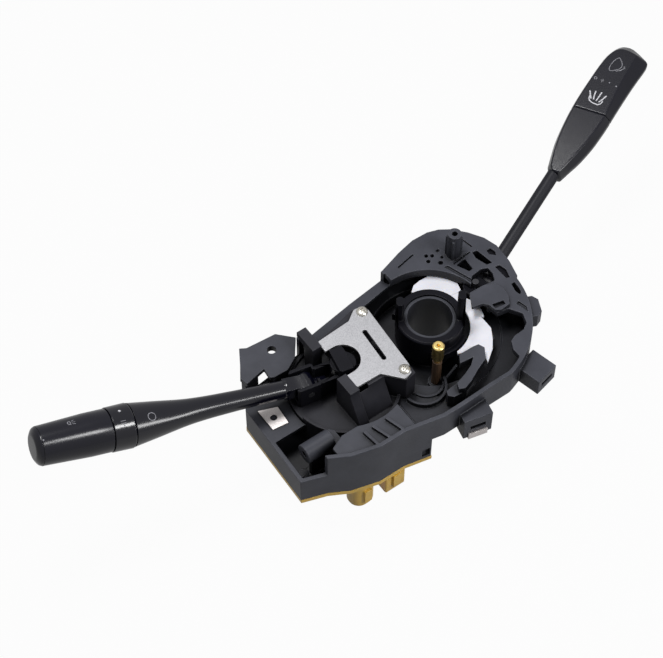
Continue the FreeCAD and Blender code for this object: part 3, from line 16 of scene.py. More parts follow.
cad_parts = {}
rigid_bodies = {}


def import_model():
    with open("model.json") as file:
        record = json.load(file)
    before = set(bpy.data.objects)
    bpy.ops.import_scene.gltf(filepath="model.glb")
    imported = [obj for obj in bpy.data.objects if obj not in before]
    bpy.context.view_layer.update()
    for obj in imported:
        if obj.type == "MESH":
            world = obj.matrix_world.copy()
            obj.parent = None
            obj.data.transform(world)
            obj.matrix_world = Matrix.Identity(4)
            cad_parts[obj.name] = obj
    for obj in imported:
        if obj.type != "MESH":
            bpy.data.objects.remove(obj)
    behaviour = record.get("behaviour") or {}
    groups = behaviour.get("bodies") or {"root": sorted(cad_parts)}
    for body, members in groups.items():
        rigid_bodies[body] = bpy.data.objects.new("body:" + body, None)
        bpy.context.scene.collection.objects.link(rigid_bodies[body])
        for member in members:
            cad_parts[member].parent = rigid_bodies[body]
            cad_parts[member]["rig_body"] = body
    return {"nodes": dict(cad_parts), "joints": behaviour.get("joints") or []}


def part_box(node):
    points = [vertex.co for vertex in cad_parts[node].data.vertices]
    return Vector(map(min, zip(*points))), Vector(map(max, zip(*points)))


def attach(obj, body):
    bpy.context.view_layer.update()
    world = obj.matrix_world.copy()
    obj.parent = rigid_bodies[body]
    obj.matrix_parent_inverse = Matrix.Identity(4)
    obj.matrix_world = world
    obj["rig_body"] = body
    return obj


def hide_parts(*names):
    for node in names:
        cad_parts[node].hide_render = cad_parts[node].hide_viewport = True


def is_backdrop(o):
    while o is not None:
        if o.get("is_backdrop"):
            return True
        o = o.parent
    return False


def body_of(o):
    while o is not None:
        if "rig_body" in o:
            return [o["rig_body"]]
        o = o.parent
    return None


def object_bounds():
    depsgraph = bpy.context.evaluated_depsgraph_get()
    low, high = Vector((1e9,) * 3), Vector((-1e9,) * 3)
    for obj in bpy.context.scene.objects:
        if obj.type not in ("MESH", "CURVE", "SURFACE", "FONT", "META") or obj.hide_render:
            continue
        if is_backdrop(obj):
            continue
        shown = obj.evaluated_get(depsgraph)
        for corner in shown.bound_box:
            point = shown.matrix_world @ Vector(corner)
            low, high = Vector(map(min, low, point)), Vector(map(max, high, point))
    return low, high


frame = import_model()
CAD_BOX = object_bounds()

LOG = logging.getLogger("stalk_switch")
MM = 0.001
PHOTO_WIDTH = 663
PHOTO_HEIGHT = 658
NODES = frame["nodes"]
JOINTS = {joint["name"]: joint for joint in frame["joints"]}

Triple = tuple[float, float, float]
Colour = Triple
Point = tuple[float, float]

# Shares, bands and sample counts that every finish uses.
DARK = (0.0, 0.0, 0.0)
WHITE = (1.0, 1.0, 1.0, 1.0)
FINE_DETAIL, SLOW_DETAIL = 3.0, 4.0
NOISE_ROUGHNESS = 0.55
EDGE_SAMPLES = 4
EDGE_LEANS = (0.998, 0.92)
SHADE_BAND = (0.3, 0.7)
FLECK_BAND = (0.35, 0.65)
# Noise band where edges are lightened, partly as wear and partly as painted highlight.
WEAR_AND_HIGHLIGHT_BAND = (0.25, 0.75)
# Painted shade in recesses: ambient occlusion samples, band and how dark the shade goes.
PAINTED_SHADE_SAMPLES = 8
PAINTED_SHADE_BAND = (0.92, 0.42)
PAINTED_SHADE_DEPTH = 0.08
# Gain and lift of the lightened edge colour, for wear and for painted highlight.
WORN_AND_LIT_GAIN, WORN_AND_LIT_LIFT = 1.5, 0.05
SMOOTHEST, ROUGHEST = 0.85, 1.18
GRAIN_DEPTH_MM = 0.12
SCATTER_RADIUS = (1.0, 0.8, 0.6)
SCATTER_MM = 1.2

# Limits and gaps of the meshes.
SHARP_DEG = 30.0
ON_AXIS_MM = 1e-6
SAME_POINT_MM = 1e-9
FLOOR_GAP = 0.0003


class Slot(Enum):
    """The record's material slots."""

    HOUSING = "housing_plastic"
    SWITCH = "switch_plastic"
    LEVER = "lever_plastic"
    KNOB = "knob_plastic"
    ALUMINIUM = "aluminium_plate"
    PLATED = "plated_steel"
    SPRING = "spring_steel"
    BRASS = "brass"
    NYLON = "nylon"
    PHENOLIC = "phenolic"
    AMBER = "amber_plastic"


class NodeSheet:
    """Places and links the nodes of one node tree."""

    def __init__(self, tree: NodeTree) -> None:
        """Keeps the tree and empties it.

        Args:
            tree: The shader or geometry tree to fill.
        """
        self.tree = tree
        self.tree.nodes.clear()

    @classmethod
    def of(cls, owner: bpy.types.ID) -> "NodeSheet":
        """The nodes of a material or a world."""
        owner.use_nodes = True
        return cls(owner.node_tree)

    def add(self, kind: str, settings: dict | None = None, **inputs: object) -> Node:
        """Adds one node.

        Args:
            kind: Blender's type name of the node.
            settings: Properties of the node by name.
            inputs: Values or output sockets by the input's name, with _ for a space.

        Returns:
            The new node.
        """
        node = self.tree.nodes.new(kind)
        for name, value in (settings or {}).items():
            setattr(node, name, value)
        for name, value in inputs.items():
            self.feed(node.inputs[name.replace("_", " ")], value)
        return node

    def feed(self, socket: NodeSocket, value: object) -> None:
        """Links an output to a socket, or sets the socket's value.

        Args:
            socket: Input of a node.
            value: An output socket, a node that gives its first output, or a plain value.
        """
        if isinstance(value, Node):
            value = value.outputs[0]
        if isinstance(value, NodeSocket):
            self.tree.links.new(value, socket)
        else:
            socket.default_value = value

    def fill(self, kind: str, values: Sequence[object], **settings: object) -> Node:
        """Adds a node whose inputs take values in order.

        Args:
            kind: Blender's type name of the node.
            values: Numbers, vectors or output sockets.
            settings: Properties of the node.

        Returns:
            The new node.
        """
        node = self.add(kind, settings)
        for socket, value in zip(node.inputs, values):
            self.feed(socket, value)
        return node

    def maths(self, operation: str, *values: object) -> NodeSocket:
        """The result of a Math node on numbers or sockets."""
        return self.fill("ShaderNodeMath", values, operation=operation).outputs[0]

    def blend(self, factor: object, first: object, second: object) -> NodeSocket:
        """Adds a colour Mix node.

        Args:
            factor: Share of the second colour.
            first: Colour or socket.
            second: Colour or socket.

        Returns:
            The mixed colour.
        """
        node = self.add("ShaderNodeMix", {"data_type": "RGBA"}, Factor=factor)
        colours = [socket for socket in node.inputs if socket.type == "RGBA"]
        for socket, value in zip(colours, (first, second)):
            self.feed(socket, (*value, 1.0) if isinstance(value, tuple) else value)
        return [socket for socket in node.outputs if socket.type == "RGBA"][0]

    def ramp(self, factor: object, low: float, high: float) -> NodeSocket:
        """Stretches a factor so that low becomes 0 and high becomes 1, clamped."""
        return self.add("ShaderNodeMapRange", Value=factor, From_Min=low, From_Max=high).outputs[0]


@dataclass(frozen=True)
class Finish:
    """A surface finish whose colour and grain are worked out in object space.

    The grain is the fine bite of the mould or the brush, the mottle a slow drift of shade, and the edges
    are rounded by rim and lightened partly by wear, as handled parts are, and partly as a painted highlight.
    Recesses can be darkened with painted shade.
    """

    name: str
    slot: Slot
    colour: Colour
    roughness: float = 0.5
    grain: float = 0.12
    grain_mm: float = 0.5
    mottle: float = 0.25
    mottle_mm: float = 14.0
    # Edge lightening: partly wear, partly a painted highlight on the rims.
    wear_and_highlight: float = 0.3
    rim_mm: float = 0.2
    metallic: float = 0.0
    specular: float = 0.5
    stretch: Triple = (1.0, 1.0, 1.0)
    translucent: float = 0.0
    # Painted shade: how strongly, and within what distance, recesses found by ambient occlusion are darkened.
    painted_shade: float = 0.0
    painted_shade_mm: float = 16.0
    speckle: float = 0.0

    def shade(self, gain: float, lift: float = 0.0) -> Colour:
        """The finish's colour, made darker or lighter."""
        return tuple(min(1.0, channel * gain + lift) for channel in self.colour)

    def coordinates(self, sheet: NodeSheet) -> NodeSocket:
        """Object coordinates in millimetres, stretched along the grain.

        Args:
            sheet: The material's nodes.

        Returns:
            The stretched coordinates.
        """
        place = sheet.add("ShaderNodeTexCoord").outputs["Object"]
        scale = tuple(factor / MM for factor in self.stretch)
        return sheet.fill("ShaderNodeVectorMath", (place, scale), operation="MULTIPLY").outputs["Vector"]

    def noise(self, sheet: NodeSheet, place: object, size_mm: float, detail: float) -> NodeSocket:
        """Noise whose features are about size_mm across."""
        return sheet.add("ShaderNodeTexNoise", Vector=place, Scale=1.0 / size_mm, Detail=detail,
                         Roughness=NOISE_ROUGHNESS).outputs["Fac"]

    def edge_mask(self, sheet: NodeSheet) -> tuple[NodeSocket, NodeSocket]:
        """Finds the edges by how far the rounded normal leans from the flat one.

        Args:
            sheet: The material's nodes.

        Returns:
            The rounded normal, and a factor that is 1 on sharp edges.
        """
        bevel = sheet.add("ShaderNodeBevel", {"samples": EDGE_SAMPLES}, Radius=self.rim_mm * MM)
        normals = (bevel.outputs["Normal"], sheet.add("ShaderNodeNewGeometry").outputs["Normal"])
        lean = sheet.fill("ShaderNodeVectorMath", normals, operation="DOT_PRODUCT")
        return normals[0], sheet.ramp(lean.outputs["Value"], *EDGE_LEANS)

    def coat(self, sheet: NodeSheet, fine: NodeSocket, slow: NodeSocket, edges: NodeSocket) -> NodeSocket:
        """Mixes the colour: drift, flecks, painted shade in recesses, and edges lightened by wear and painted
        highlight.

        Args:
            sheet: The material's nodes.
            fine: Noise of the grain.
            slow: Noise of the mottle.
            edges: Factor that is 1 on sharp edges.

        Returns:
            The colour.
        """
        colour = sheet.blend(sheet.ramp(slow, *SHADE_BAND), self.shade(1.0 - self.mottle),
                             self.shade(1.0 + self.mottle))
        if self.speckle:
            dim = sheet.blend(1.0 - self.speckle, DARK, colour)
            colour = sheet.blend(sheet.ramp(fine, *FLECK_BAND), dim, self.shade(1.0 + self.speckle))
        # Painted shade: the colour goes dark where ambient occlusion finds a recess.
        if self.painted_shade:
            closed = sheet.add("ShaderNodeAmbientOcclusion", {"samples": PAINTED_SHADE_SAMPLES},
                               Distance=self.painted_shade_mm * MM)
            deep = sheet.maths("MULTIPLY", sheet.ramp(closed.outputs["AO"], *PAINTED_SHADE_BAND), self.painted_shade)
            colour = sheet.blend(deep, colour, self.shade(PAINTED_SHADE_DEPTH))
        # Edges lightened at random spots, partly as wear and partly as a painted highlight.
        worn_and_lit_edges = sheet.maths("MULTIPLY", edges, sheet.ramp(slow, *WEAR_AND_HIGHLIGHT_BAND))
        worn = self.shade(WORN_AND_LIT_GAIN, WORN_AND_LIT_LIFT)
        return sheet.blend(sheet.maths("MULTIPLY", worn_and_lit_edges, self.wear_and_highlight), colour, worn)

    @cache
    def material(self) -> Material:
        """Makes the material, once for each finish.

        Returns:
            A node material that reads only object coordinates and the geometry.
        """
        material = bpy.data.materials.new(self.name)
        sheet = NodeSheet.of(material)
        place = self.coordinates(sheet)
        fine = self.noise(sheet, place, self.grain_mm, FINE_DETAIL)
        slow = self.noise(sheet, place, self.mottle_mm, SLOW_DETAIL)
        rounded, edges = self.edge_mask(sheet)
        rough = sheet.add("ShaderNodeMapRange", Value=fine, To_Min=self.roughness * SMOOTHEST,
                          To_Max=min(1.0, self.roughness * ROUGHEST))
        bump = sheet.add("ShaderNodeBump", Strength=self.grain, Distance=GRAIN_DEPTH_MM * MM,
                         Height=fine, Normal=rounded)
        surface = sheet.add("ShaderNodeBsdfPrincipled", Base_Color=self.coat(sheet, fine, slow, edges),
                            Metallic=self.metallic, Specular_IOR_Level=self.specular, Roughness=rough,
                            Normal=bump)
        if self.translucent:
            glow = {"Weight": self.translucent, "Radius": SCATTER_RADIUS, "Scale": SCATTER_MM * MM}
            for name, value in glow.items():
                surface.inputs[f"Subsurface {name}"].default_value = value
        sheet.add("ShaderNodeOutputMaterial", Surface=surface)
        return material


# CHARCOAL, BLACK and DULL darken their recesses with painted shade; CHARCOAL's strong edge lightening is
# partly wear, partly painted highlight.
CHARCOAL = Finish(
    "charcoal moulded housing", Slot.HOUSING, (0.051, 0.053, 0.065), roughness=0.42, grain=0.30,
    grain_mm=0.45, mottle=0.14, wear_and_highlight=1.4, rim_mm=0.45, specular=0.16, painted_shade=0.95, painted_shade_mm=26.0)
BLACK = Finish(
    "black switch moulding", Slot.SWITCH, (0.006, 0.006, 0.009), roughness=0.34, grain=0.25, grain_mm=0.40,
    mottle=0.18, wear_and_highlight=0.6, rim_mm=0.35, specular=0.09, painted_shade=0.4)
DULL = Finish(
    "dull black case", Slot.SWITCH, (0.026, 0.026, 0.032), roughness=0.40, grain=0.25, grain_mm=0.40,
    mottle=0.18, wear_and_highlight=0.7, rim_mm=0.35, specular=0.13, painted_shade=0.8)
LEVER = Finish(
    "satin black lever", Slot.LEVER, (0.002, 0.002, 0.006), roughness=0.17, grain=0.05, mottle=0.12,
    wear_and_highlight=0.2, rim_mm=0.3, specular=0.55)
KNOB = Finish(
    "fine grained knob", Slot.KNOB, (0.006, 0.006, 0.011), roughness=0.20, grain=0.09, grain_mm=0.4,
    mottle=0.12, wear_and_highlight=0.5, rim_mm=0.4, specular=0.38)
ROD = Finish(
    "black painted rod", Slot.LEVER, (0.010, 0.010, 0.014), roughness=0.45, grain=0.05, grain_mm=0.8,
    mottle=0.12, wear_and_highlight=0.2, rim_mm=0.3, specular=0.2)
ALUMINIUM = Finish(
    "brushed aluminium sheet", Slot.ALUMINIUM, (0.325, 0.325, 0.34), roughness=0.48, grain=0.35,
    grain_mm=0.4, mottle=0.05, mottle_mm=6.0, metallic=0.75, speckle=0.22)
PLATED = Finish(
    "plated steel", Slot.PLATED, (0.58, 0.56, 0.51), roughness=0.30, grain=0.2, grain_mm=0.6, mottle=0.12,
    metallic=1.0)
BLACKENED = Finish(
    "blackened steel pin", Slot.PLATED, (0.045, 0.045, 0.050), roughness=0.34, grain=0.2, grain_mm=0.6,
    mottle=0.15, metallic=0.6)
SPRING = Finish(
    "spring steel sheet", Slot.SPRING, (0.62, 0.58, 0.57), roughness=0.45, grain=0.25, mottle=0.15,
    metallic=0.7, speckle=0.15)
BRASS = Finish(
    "turned brass", Slot.BRASS, (0.80, 0.60, 0.23), roughness=0.28, grain=0.2, mottle=0.14, metallic=1.0,
    stretch=(1.0, 1.0, 3.0))
NYLON = Finish(
    "white nylon", Slot.NYLON, (0.70, 0.70, 0.75), roughness=0.42, grain=0.15, grain_mm=0.6, mottle=0.05,
    wear_and_highlight=0.1, rim_mm=0.35, translucent=0.3)
PHENOLIC = Finish(
    "brown bakelite tube", Slot.PHENOLIC, (0.085, 0.050, 0.030), roughness=0.38, grain=0.3, mottle=0.5,
    mottle_mm=0.9, wear_and_highlight=0.2, stretch=(2.2, 2.2, 0.12))
AMBER = Finish(
    "amber connector moulding", Slot.AMBER, (0.74, 0.47, 0.075), roughness=0.36, grain=0.15, grain_mm=0.6,
    mottle=0.10, wear_and_highlight=0.25, rim_mm=0.3, translucent=0.2)
PRINT_WHITE = Finish(
    "white pad print", Slot.KNOB, (0.50, 0.50, 0.53), roughness=0.55, grain=0.1, grain_mm=0.3, mottle=0.22,
    mottle_mm=0.9, wear_and_highlight=0.0, rim_mm=0.05)
PRINT_WORN = Finish(
    "worn pad print", Slot.KNOB, (0.17, 0.17, 0.19), roughness=0.5, grain=0.1, grain_mm=0.3, mottle=0.5,
    mottle_mm=0.7, wear_and_highlight=0.0, rim_mm=0.05)


def dress(node: str, finish: Finish) -> None:
    """Gives a carried CAD node its finish.

    Args:
        node: Name of the CAD node.
        finish: The finish for all its faces.
    """
    shown = NODES[node]
    material = finish.material()
    if not shown.data.materials:
        shown.data.materials.append(material)
    for number in range(len(shown.material_slots)):
        shown.material_slots[number].material = material
    LOG.info("%s: %s", node, finish.name)


def soften(work: BMesh, sharp_deg: float = SHARP_DEG) -> None:
    """Shades a mesh smoothly and marks the edges that turn more than an angle.

    Args:
        work: The mesh.
        sharp_deg: Least turn of a sharp edge.
    """
    limit = math.radians(sharp_deg)
    for face in work.faces:
        face.smooth = True
    for edge in work.edges:
        edge.smooth = len(edge.link_faces) == 2 and edge.calc_face_angle(0.0) < limit


def wall_between(work: BMesh, below: Sequence[BMVert], above: Sequence[BMVert]) -> None:
    """Joins two closed rings of as many vertices by a band of faces.

    Args:
        work: The mesh that takes the faces.
        below: The first ring.
        above: The second ring.
    """
    for number in range(len(below)):
        other = (number + 1) % len(below)
        work.faces.new((below[number], below[other], above[other], above[number]))


def add_object(name: str, data: bpy.types.ID) -> Object:
    """Puts data into the scene as an object at the origin.

    Args:
        name: Name of the object.
        data: Its mesh, lamp or camera.

    Returns:
        The object.
    """
    made = bpy.data.objects.new(name, data)
    bpy.context.scene.collection.objects.link(made)
    return made


def hang(name: str, work: BMesh, finish: Finish, body: str) -> Object:
    """Turns a finished bmesh into a piece at the origin that rides on a body.

    Args:
        name: Name of the piece.
        work: The mesh in metres, which is freed.
        finish: The finish for all its faces.
        body: CAD body that it rides on.

    Returns:
        The piece.
    """
    mesh = bpy.data.meshes.new(name)
    work.to_mesh(mesh)
    work.free()
    mesh.materials.append(finish.material())
    made = add_object(name, mesh)
    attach(made, body)
    LOG.info("%s: %d faces on %s", name, len(mesh.polygons), body)
    return made


@dataclass(frozen=True)
class Moulding:
    """A CAD node made again with merged faces, smooth curves and rounded edges."""

    node: str
    finish: Finish
    rounding_mm: float = 0.3
    sharp_deg: float = SHARP_DEG
    merge_m: float = 2e-6
    flange: float = 1.0
    segments: int = 2

    def mesh(self) -> BMesh:
        """Merges the node's faces and shades them by angle.

        Returns:
            The mesh in metres.
        """
        work = bmesh.new()
        work.from_mesh(NODES[self.node].data)
        bmesh.ops.remove_doubles(work, verts=work.verts, dist=self.merge_m)
        bmesh.ops.dissolve_degenerate(work, edges=work.edges, dist=self.merge_m)
        if self.flange != 1.0:
            low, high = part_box(self.node)
            middle = (low + high) / 2
            bmesh.ops.scale(work, vec=(self.flange, self.flange, 1.0), verts=work.verts,
                            space=Matrix.Translation(-middle))
        soften(work, self.sharp_deg)
        return work

    def round_edges(self, made: Object) -> None:
        """Adds live rounding and shading that keeps flat faces flat.

        Args:
            made: The piece.
        """
        if self.rounding_mm:
            bevel = made.modifiers.new("rounding", "BEVEL")
            bevel.width = self.rounding_mm * MM
            bevel.segments = self.segments
            bevel.limit_method = "ANGLE"
            bevel.angle_limit = math.radians(self.sharp_deg)
            bevel.use_clamp_overlap = False
            bevel.harden_normals = True
        made.modifiers.new("shading", "WEIGHTED_NORMAL").keep_sharp = True

    def build(self) -> None:
        """Makes the piece, which rides on its node's body and stands for the node."""
        body = body_of(NODES[self.node])[0]
        made = hang(f"{self.node}_rounded", self.mesh(), self.finish, body)
        self.round_edges(made)
        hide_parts(self.node)


def alike(finish: Finish, rounding_mm: float, *nodes: str) -> tuple[Moulding, ...]:
    """Mouldings that share a finish and a rounding."""
    return tuple(Moulding(node, finish, rounding_mm) for node in nodes)


@dataclass
class SubAssembly:
    """Mouldings that belong together."""

    mouldings: Sequence[Moulding] = ()

    def dress(self) -> None:
        """Makes each moulding with its rounded edges and its finish."""
        for moulding in self.mouldings:
            moulding.build()


@dataclass
class LeverFrame:
    """Local frame of a lever: X out along it, Z away from the steering column's foot."""

    origin: Vector
    out: Vector
    across: Vector

    @classmethod
    def of_left(cls) -> "LeverFrame":
        """Frame of the light lever, from its pull axis and the axis of its knob.

        Returns:
            The frame.
        """
        pull = JOINTS["dimmer_pull"]
        knob = JOINTS["light_knob_turn"]
        across = -Vector(pull["axis"]).normalized()
        return cls(Vector(pull["pos_m"]), Vector(knob["axis"]).normalized(), across)

    @classmethod
    def of_right(cls, rise_deg: float = 14.5) -> "LeverFrame":
        """Frame of the wiper lever, from its pull axis.

        Args:
            rise_deg: How far the lever rises above the level.

        Returns:
            The frame.
        """
        pull = JOINTS["washer_pull"]
        across = -Vector(pull["axis"]).normalized()
        rise = math.radians(rise_deg)
        level = Vector((across.y, -across.x, 0.0))
        out = level * math.cos(rise) + Vector((0.0, 0.0, math.sin(rise)))
        return cls(Vector(pull["pos_m"]), out, across)

    def matrix(self) -> Matrix:
        """The frame as a matrix whose columns are out, across and up."""
        turn = Matrix((self.out, self.across, self.out.cross(self.across).normalized())).transposed()
        return Matrix.Translation(self.origin) @ turn.to_4x4()

    def point(self, along: float, across: float, up: float) -> Vector:
        """A point of the lever as a point of the part, both in millimetres."""
        return self.matrix() @ (Vector((along, across, up)) * MM) / MM

    def seat(self, work: BMesh) -> None:
        """Carries a mesh from the lever's axes to the part's and turns its faces outward."""
        bmesh.ops.transform(work, matrix=self.matrix(), verts=work.verts)
        bmesh.ops.recalc_face_normals(work, faces=work.faces)


def lathe(work: BMesh, profile: Sequence[Point], steps: int = 96) -> None:
    """Spins a closed profile round the local X axis.

    Args:
        work: Bmesh that takes the faces.
        profile: Loop of (along, radius) points in millimetres, in order.
        steps: Flats round the axis.
    """
    angles = [2 * math.pi * step / steps for step in range(steps)]
    rings = []
    for along, radius in profile:
        turns = angles if radius > ON_AXIS_MM else angles[:1]
        rings.append([work.verts.new((along * MM, radius * math.sin(turn) * MM, radius * math.cos(turn) * MM))
                      for turn in turns])
    for ring, following in zip(rings, (*rings[1:], rings[0])):
        if len(ring) == 1 and len(following) == 1:
            continue
        for step in range(steps):
            corners = [ring[step % len(ring)], ring[(step + 1) % len(ring)],
                       following[(step + 1) % len(following)], following[step % len(following)]]
            work.faces.new(list(dict.fromkeys(corners)))


def smooth_profile(stations: Sequence[Point], per_span: int = 10) -> list[Point]:
    """Runs a smooth line through (along, radius) stations.

    Args:
        stations: Points in order, with growing distance along.
        per_span: Points from one station to the next.

    Returns:
        The line's points, with both ends.
    """
    pairs = zip((stations[0], *stations[:-1]), (*stations[1:], stations[-1]))
    slopes = [(after[1] - before[1]) / (after[0] - before[0]) for before, after in pairs]
    line = []
    for number, ((x0, r0), (x1, r1)) in enumerate(zip(stations, stations[1:])):
        width = x1 - x0
        leave, arrive = width * slopes[number], width * slopes[number + 1]
        for step in range(per_span):
            t = step / per_span
            a, b = 2 * t ** 3 - 3 * t ** 2 + 1, t ** 3 - 2 * t ** 2 + t
            c, d = 3 * t ** 2 - 2 * t ** 3, t ** 3 - t ** 2
            line.append((x0 + t * width, a * r0 + b * leave + c * r1 + d * arrive))
    line.append(tuple(stations[-1]))
    return line


def rounded_profile(corners: Sequence[Triple], steps: int = 6) -> list[Point]:
    """Rounds the corners of a profile.

    Args:
        corners: (along, radius, corner radius) in millimetres.
        steps: Points in each rounded corner.

    Returns:
        The profile's points.
    """
    line = []
    count = len(corners)
    for number, (x, r, fillet) in enumerate(corners):
        here = Vector((x, r))
        if not fillet:
            line.append((x, r))
            continue
        before = Vector(corners[(number - 1) % count][:2]) - here
        after = Vector(corners[(number + 1) % count][:2]) - here
        start = here + before.normalized() * fillet
        end = here + after.normalized() * fillet
        for step in range(steps + 1):
            t = step / steps
            point = start * (1 - t) ** 2 + here * 2 * t * (1 - t) + end * t ** 2
            line.append((point.x, point.y))
    return line


class PatternTree:
    """A Geometry Nodes tree that grows one shape on every vertex of a base mesh."""

    sharp_deg = 32.0

    def __init__(self, name: str, sizes: dict[str, float]) -> None:
        """Makes the tree with its named inputs.

        Args:
            name: Name of the tree.
            sizes: Default value of each named size, in metres.
        """
        self.tree = bpy.data.node_groups.new(name, "GeometryNodeTree")
        self.sheet = NodeSheet(self.tree)
        face = self.tree.interface
        face.new_socket("Geometry", in_out="OUTPUT", socket_type="NodeSocketGeometry")
        face.new_socket("Places", in_out="INPUT", socket_type="NodeSocketGeometry")
        self.sockets = {}
        for size, value in sizes.items():
            made = face.new_socket(size, in_out="INPUT", socket_type="NodeSocketFloat")
            made.default_value = value
            self.sockets[size] = made.identifier
        self.inputs = self.sheet.add("NodeGroupInput")

    def size(self, name: str) -> NodeSocket:
        """The output of one named input."""
        return self.inputs.outputs[name]

    def vector(self, x: object = 0.0, y: object = 0.0, z: object = 0.0) -> NodeSocket:
        """A vector from three numbers or sockets."""
        return self.sheet.add("ShaderNodeCombineXYZ", X=x, Y=y, Z=z).outputs[0]

    def times(self, length: str, factor: float) -> NodeSocket:
        """A named size multiplied by a factor."""
        return self.sheet.maths("MULTIPLY", self.size(length), factor)

    def moved(self, shape: object, x: object = 0.0, y: object = 0.0, z: object = 0.0) -> NodeSocket:
        """A shape moved by a vector."""
        way = self.vector(x, y, z)
        return self.sheet.add("GeometryNodeTransform", Geometry=shape, Translation=way).outputs[0]

    def carve(self, operation: str, first: object, *others: object) -> NodeSocket:
        """Joins, cuts or intersects shapes.

        Args:
            operation: UNION, DIFFERENCE or INTERSECT.
            first: The first shape.
            others: The other shapes.

        Returns:
            The resulting shape.
        """
        node = self.sheet.add("GeometryNodeMeshBoolean", {"operation": operation, "solver": "EXACT"})
        rest = list(others)
        if operation == "DIFFERENCE":
            self.sheet.feed(node.inputs["Mesh 1"], first)
        else:
            rest.append(first)
        for shape in rest:
            self.sheet.feed(node.inputs["Mesh 2"], shape)
        return node.outputs[0]

    def close(self, shape: object, finish: Finish, turn: object | None = None) -> None:
        """Puts the shape on every place, realized and with its material.

        Args:
            shape: The shape to repeat.
            finish: Its finish.
            turn: Rotation of each copy, where it has one.
        """
        many = self.sheet.add("GeometryNodeInstanceOnPoints", Points=self.size("Places"), Instance=shape)
        if turn is not None:
            self.sheet.feed(many.inputs["Rotation"], turn)
        real = self.sheet.add("GeometryNodeRealizeInstances", Geometry=many)
        coated = self.sheet.add("GeometryNodeSetMaterial", Geometry=real)
        coated.inputs["Material"].default_value = finish.material()
        self.sheet.add("NodeGroupOutput", Geometry=coated)

    def grow(self, name: str, places: Sequence[Sequence[float]], finish: Finish,
             sizes: dict[str, float] | None = None) -> Object:
        """Evaluates the tree on its places and keeps the result as a plain mesh.

        Args:
            name: Name of the piece.
            places: Points in metres.
            finish: The finish that the tree sets.
            sizes: Sizes that differ from the defaults, in metres.

        Returns:
            The piece, on the housing.
        """
        base = bpy.data.meshes.new(f"{name}_places")
        base.from_pydata([tuple(place) for place in places], [], [])
        carrier = add_object(f"{name}_places", base)
        pattern = carrier.modifiers.new("pattern", "NODES")
        pattern.node_group = self.tree
        for size, value in (sizes or {}).items():
            pattern[self.sockets[size]] = value
        bpy.context.view_layer.update()
        grown = bpy.data.meshes.new_from_object(carrier.evaluated_get(bpy.context.evaluated_depsgraph_get()))
        carrier.modifiers.remove(pattern)
        work = bmesh.new()
        work.from_mesh(grown)
        bpy.data.objects.remove(carrier)
        bmesh.ops.recalc_face_normals(work, faces=work.faces)
        soften(work, self.sharp_deg)
        return hang(name, work, finish, "housing")


@dataclass
class Screws:
    """Pan head screws with a cross recess."""

    head_mm: float = 3.4
    rise_mm: float = 2.0
    arm_mm: float = 1.9
    slot_mm: float = 0.8
    recess_mm: float = 1.1
    shank_mm: float = 1.85
    length_mm: float = 7.9
    crown: float = 1.05
    sink_mm: float = 0.2
    skirt: float = 0.75
    sides: int = 40
    rings: int = 24
    shank_sides: int = 24
    seed: int = 4
    plate: Sequence[Point] = ((-31.5, 24.0), (-35.5, -22.5))
    base: Sequence[Point] = ((-110.0, -28.0), (-108.0, 18.0), (-46.5, 32.5), (-47.5, -51.0))

    def tree(self) -> PatternTree:
        """Builds the tree of one screw on every place.

        Returns:
            The tree, closed.
        """
        sizes = {"Head Radius": self.head_mm, "Head Height": self.rise_mm, "Arm": self.arm_mm,
                 "Slot": self.slot_mm, "Recess": self.recess_mm, "Shank Radius": self.shank_mm,
                 "Length": self.length_mm}
        lengths = {name: value * MM for name, value in sizes.items()}
        made = PatternTree("cross head screws", {**lengths, "Tilt": 0.0})
        sheet, size = made.sheet, made.size
        ball = sheet.add("GeometryNodeMeshUVSphere", Segments=self.sides, Rings=self.rings, Radius=1.0)
        wide = made.times("Head Radius", self.crown)
        girth = made.vector(wide, wide, size("Head Height"))
        dome = sheet.add("GeometryNodeTransform", Geometry=ball, Scale=girth)
        half = made.times("Head Height", self.skirt)
        skirt = sheet.add("GeometryNodeMeshCylinder", Vertices=self.sides, Radius=size("Head Radius"),
                          Depth=sheet.maths("MULTIPLY", half, 2.0))
        head = made.carve("INTERSECT", dome, made.moved(skirt, z=half))
        reach = made.times("Arm", 2.0)
        deep = made.times("Recess", 2.0)
        bars = [sheet.add("GeometryNodeMeshCube", Size=made.vector(*pair, deep))
                for pair in ((reach, size("Slot")), (size("Slot"), reach))]
        bars = [made.moved(bar, z=size("Head Height")) for bar in bars]
        shank = sheet.add("GeometryNodeMeshCylinder", Vertices=self.shank_sides, Radius=size("Shank Radius"),
                          Depth=size("Length"))
        sunk = made.moved(shank, z=sheet.maths("ADD", made.times("Length", -0.5), self.sink_mm * MM))
        whole = made.carve("UNION", made.carve("DIFFERENCE", head, *bars), sunk)
        spin = sheet.add("FunctionNodeRandomValue", {"data_type": "FLOAT"}, Seed=self.seed)
        # Input 3 is the largest turn.
        spin.inputs[3].default_value = math.pi
        turn = sheet.add("FunctionNodeEulerToRotation", Euler=made.vector(x=size("Tilt"), z=spin.outputs[1]))
        made.close(whole, PLATED, turn)
        return made

    def build(self) -> None:
        """Puts in the two screws of the plate and the four of the contact base."""
        tree = self.tree()
        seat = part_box("plate_screws")[1].z - self.rise_mm * MM
        places = [(x * MM, y * MM, seat) for x, y in self.plate]
        made = tree.grow("plate_cross_screws", places, PLATED)
        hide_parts("plate_screws")
        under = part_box("base_screws")[0].z + self.rise_mm * MM
        places = [(x * MM, y * MM, under) for x, y in self.base]
        made = tree.grow("base_cross_screws", places, PLATED, {"Tilt": math.pi})
        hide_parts("base_screws")


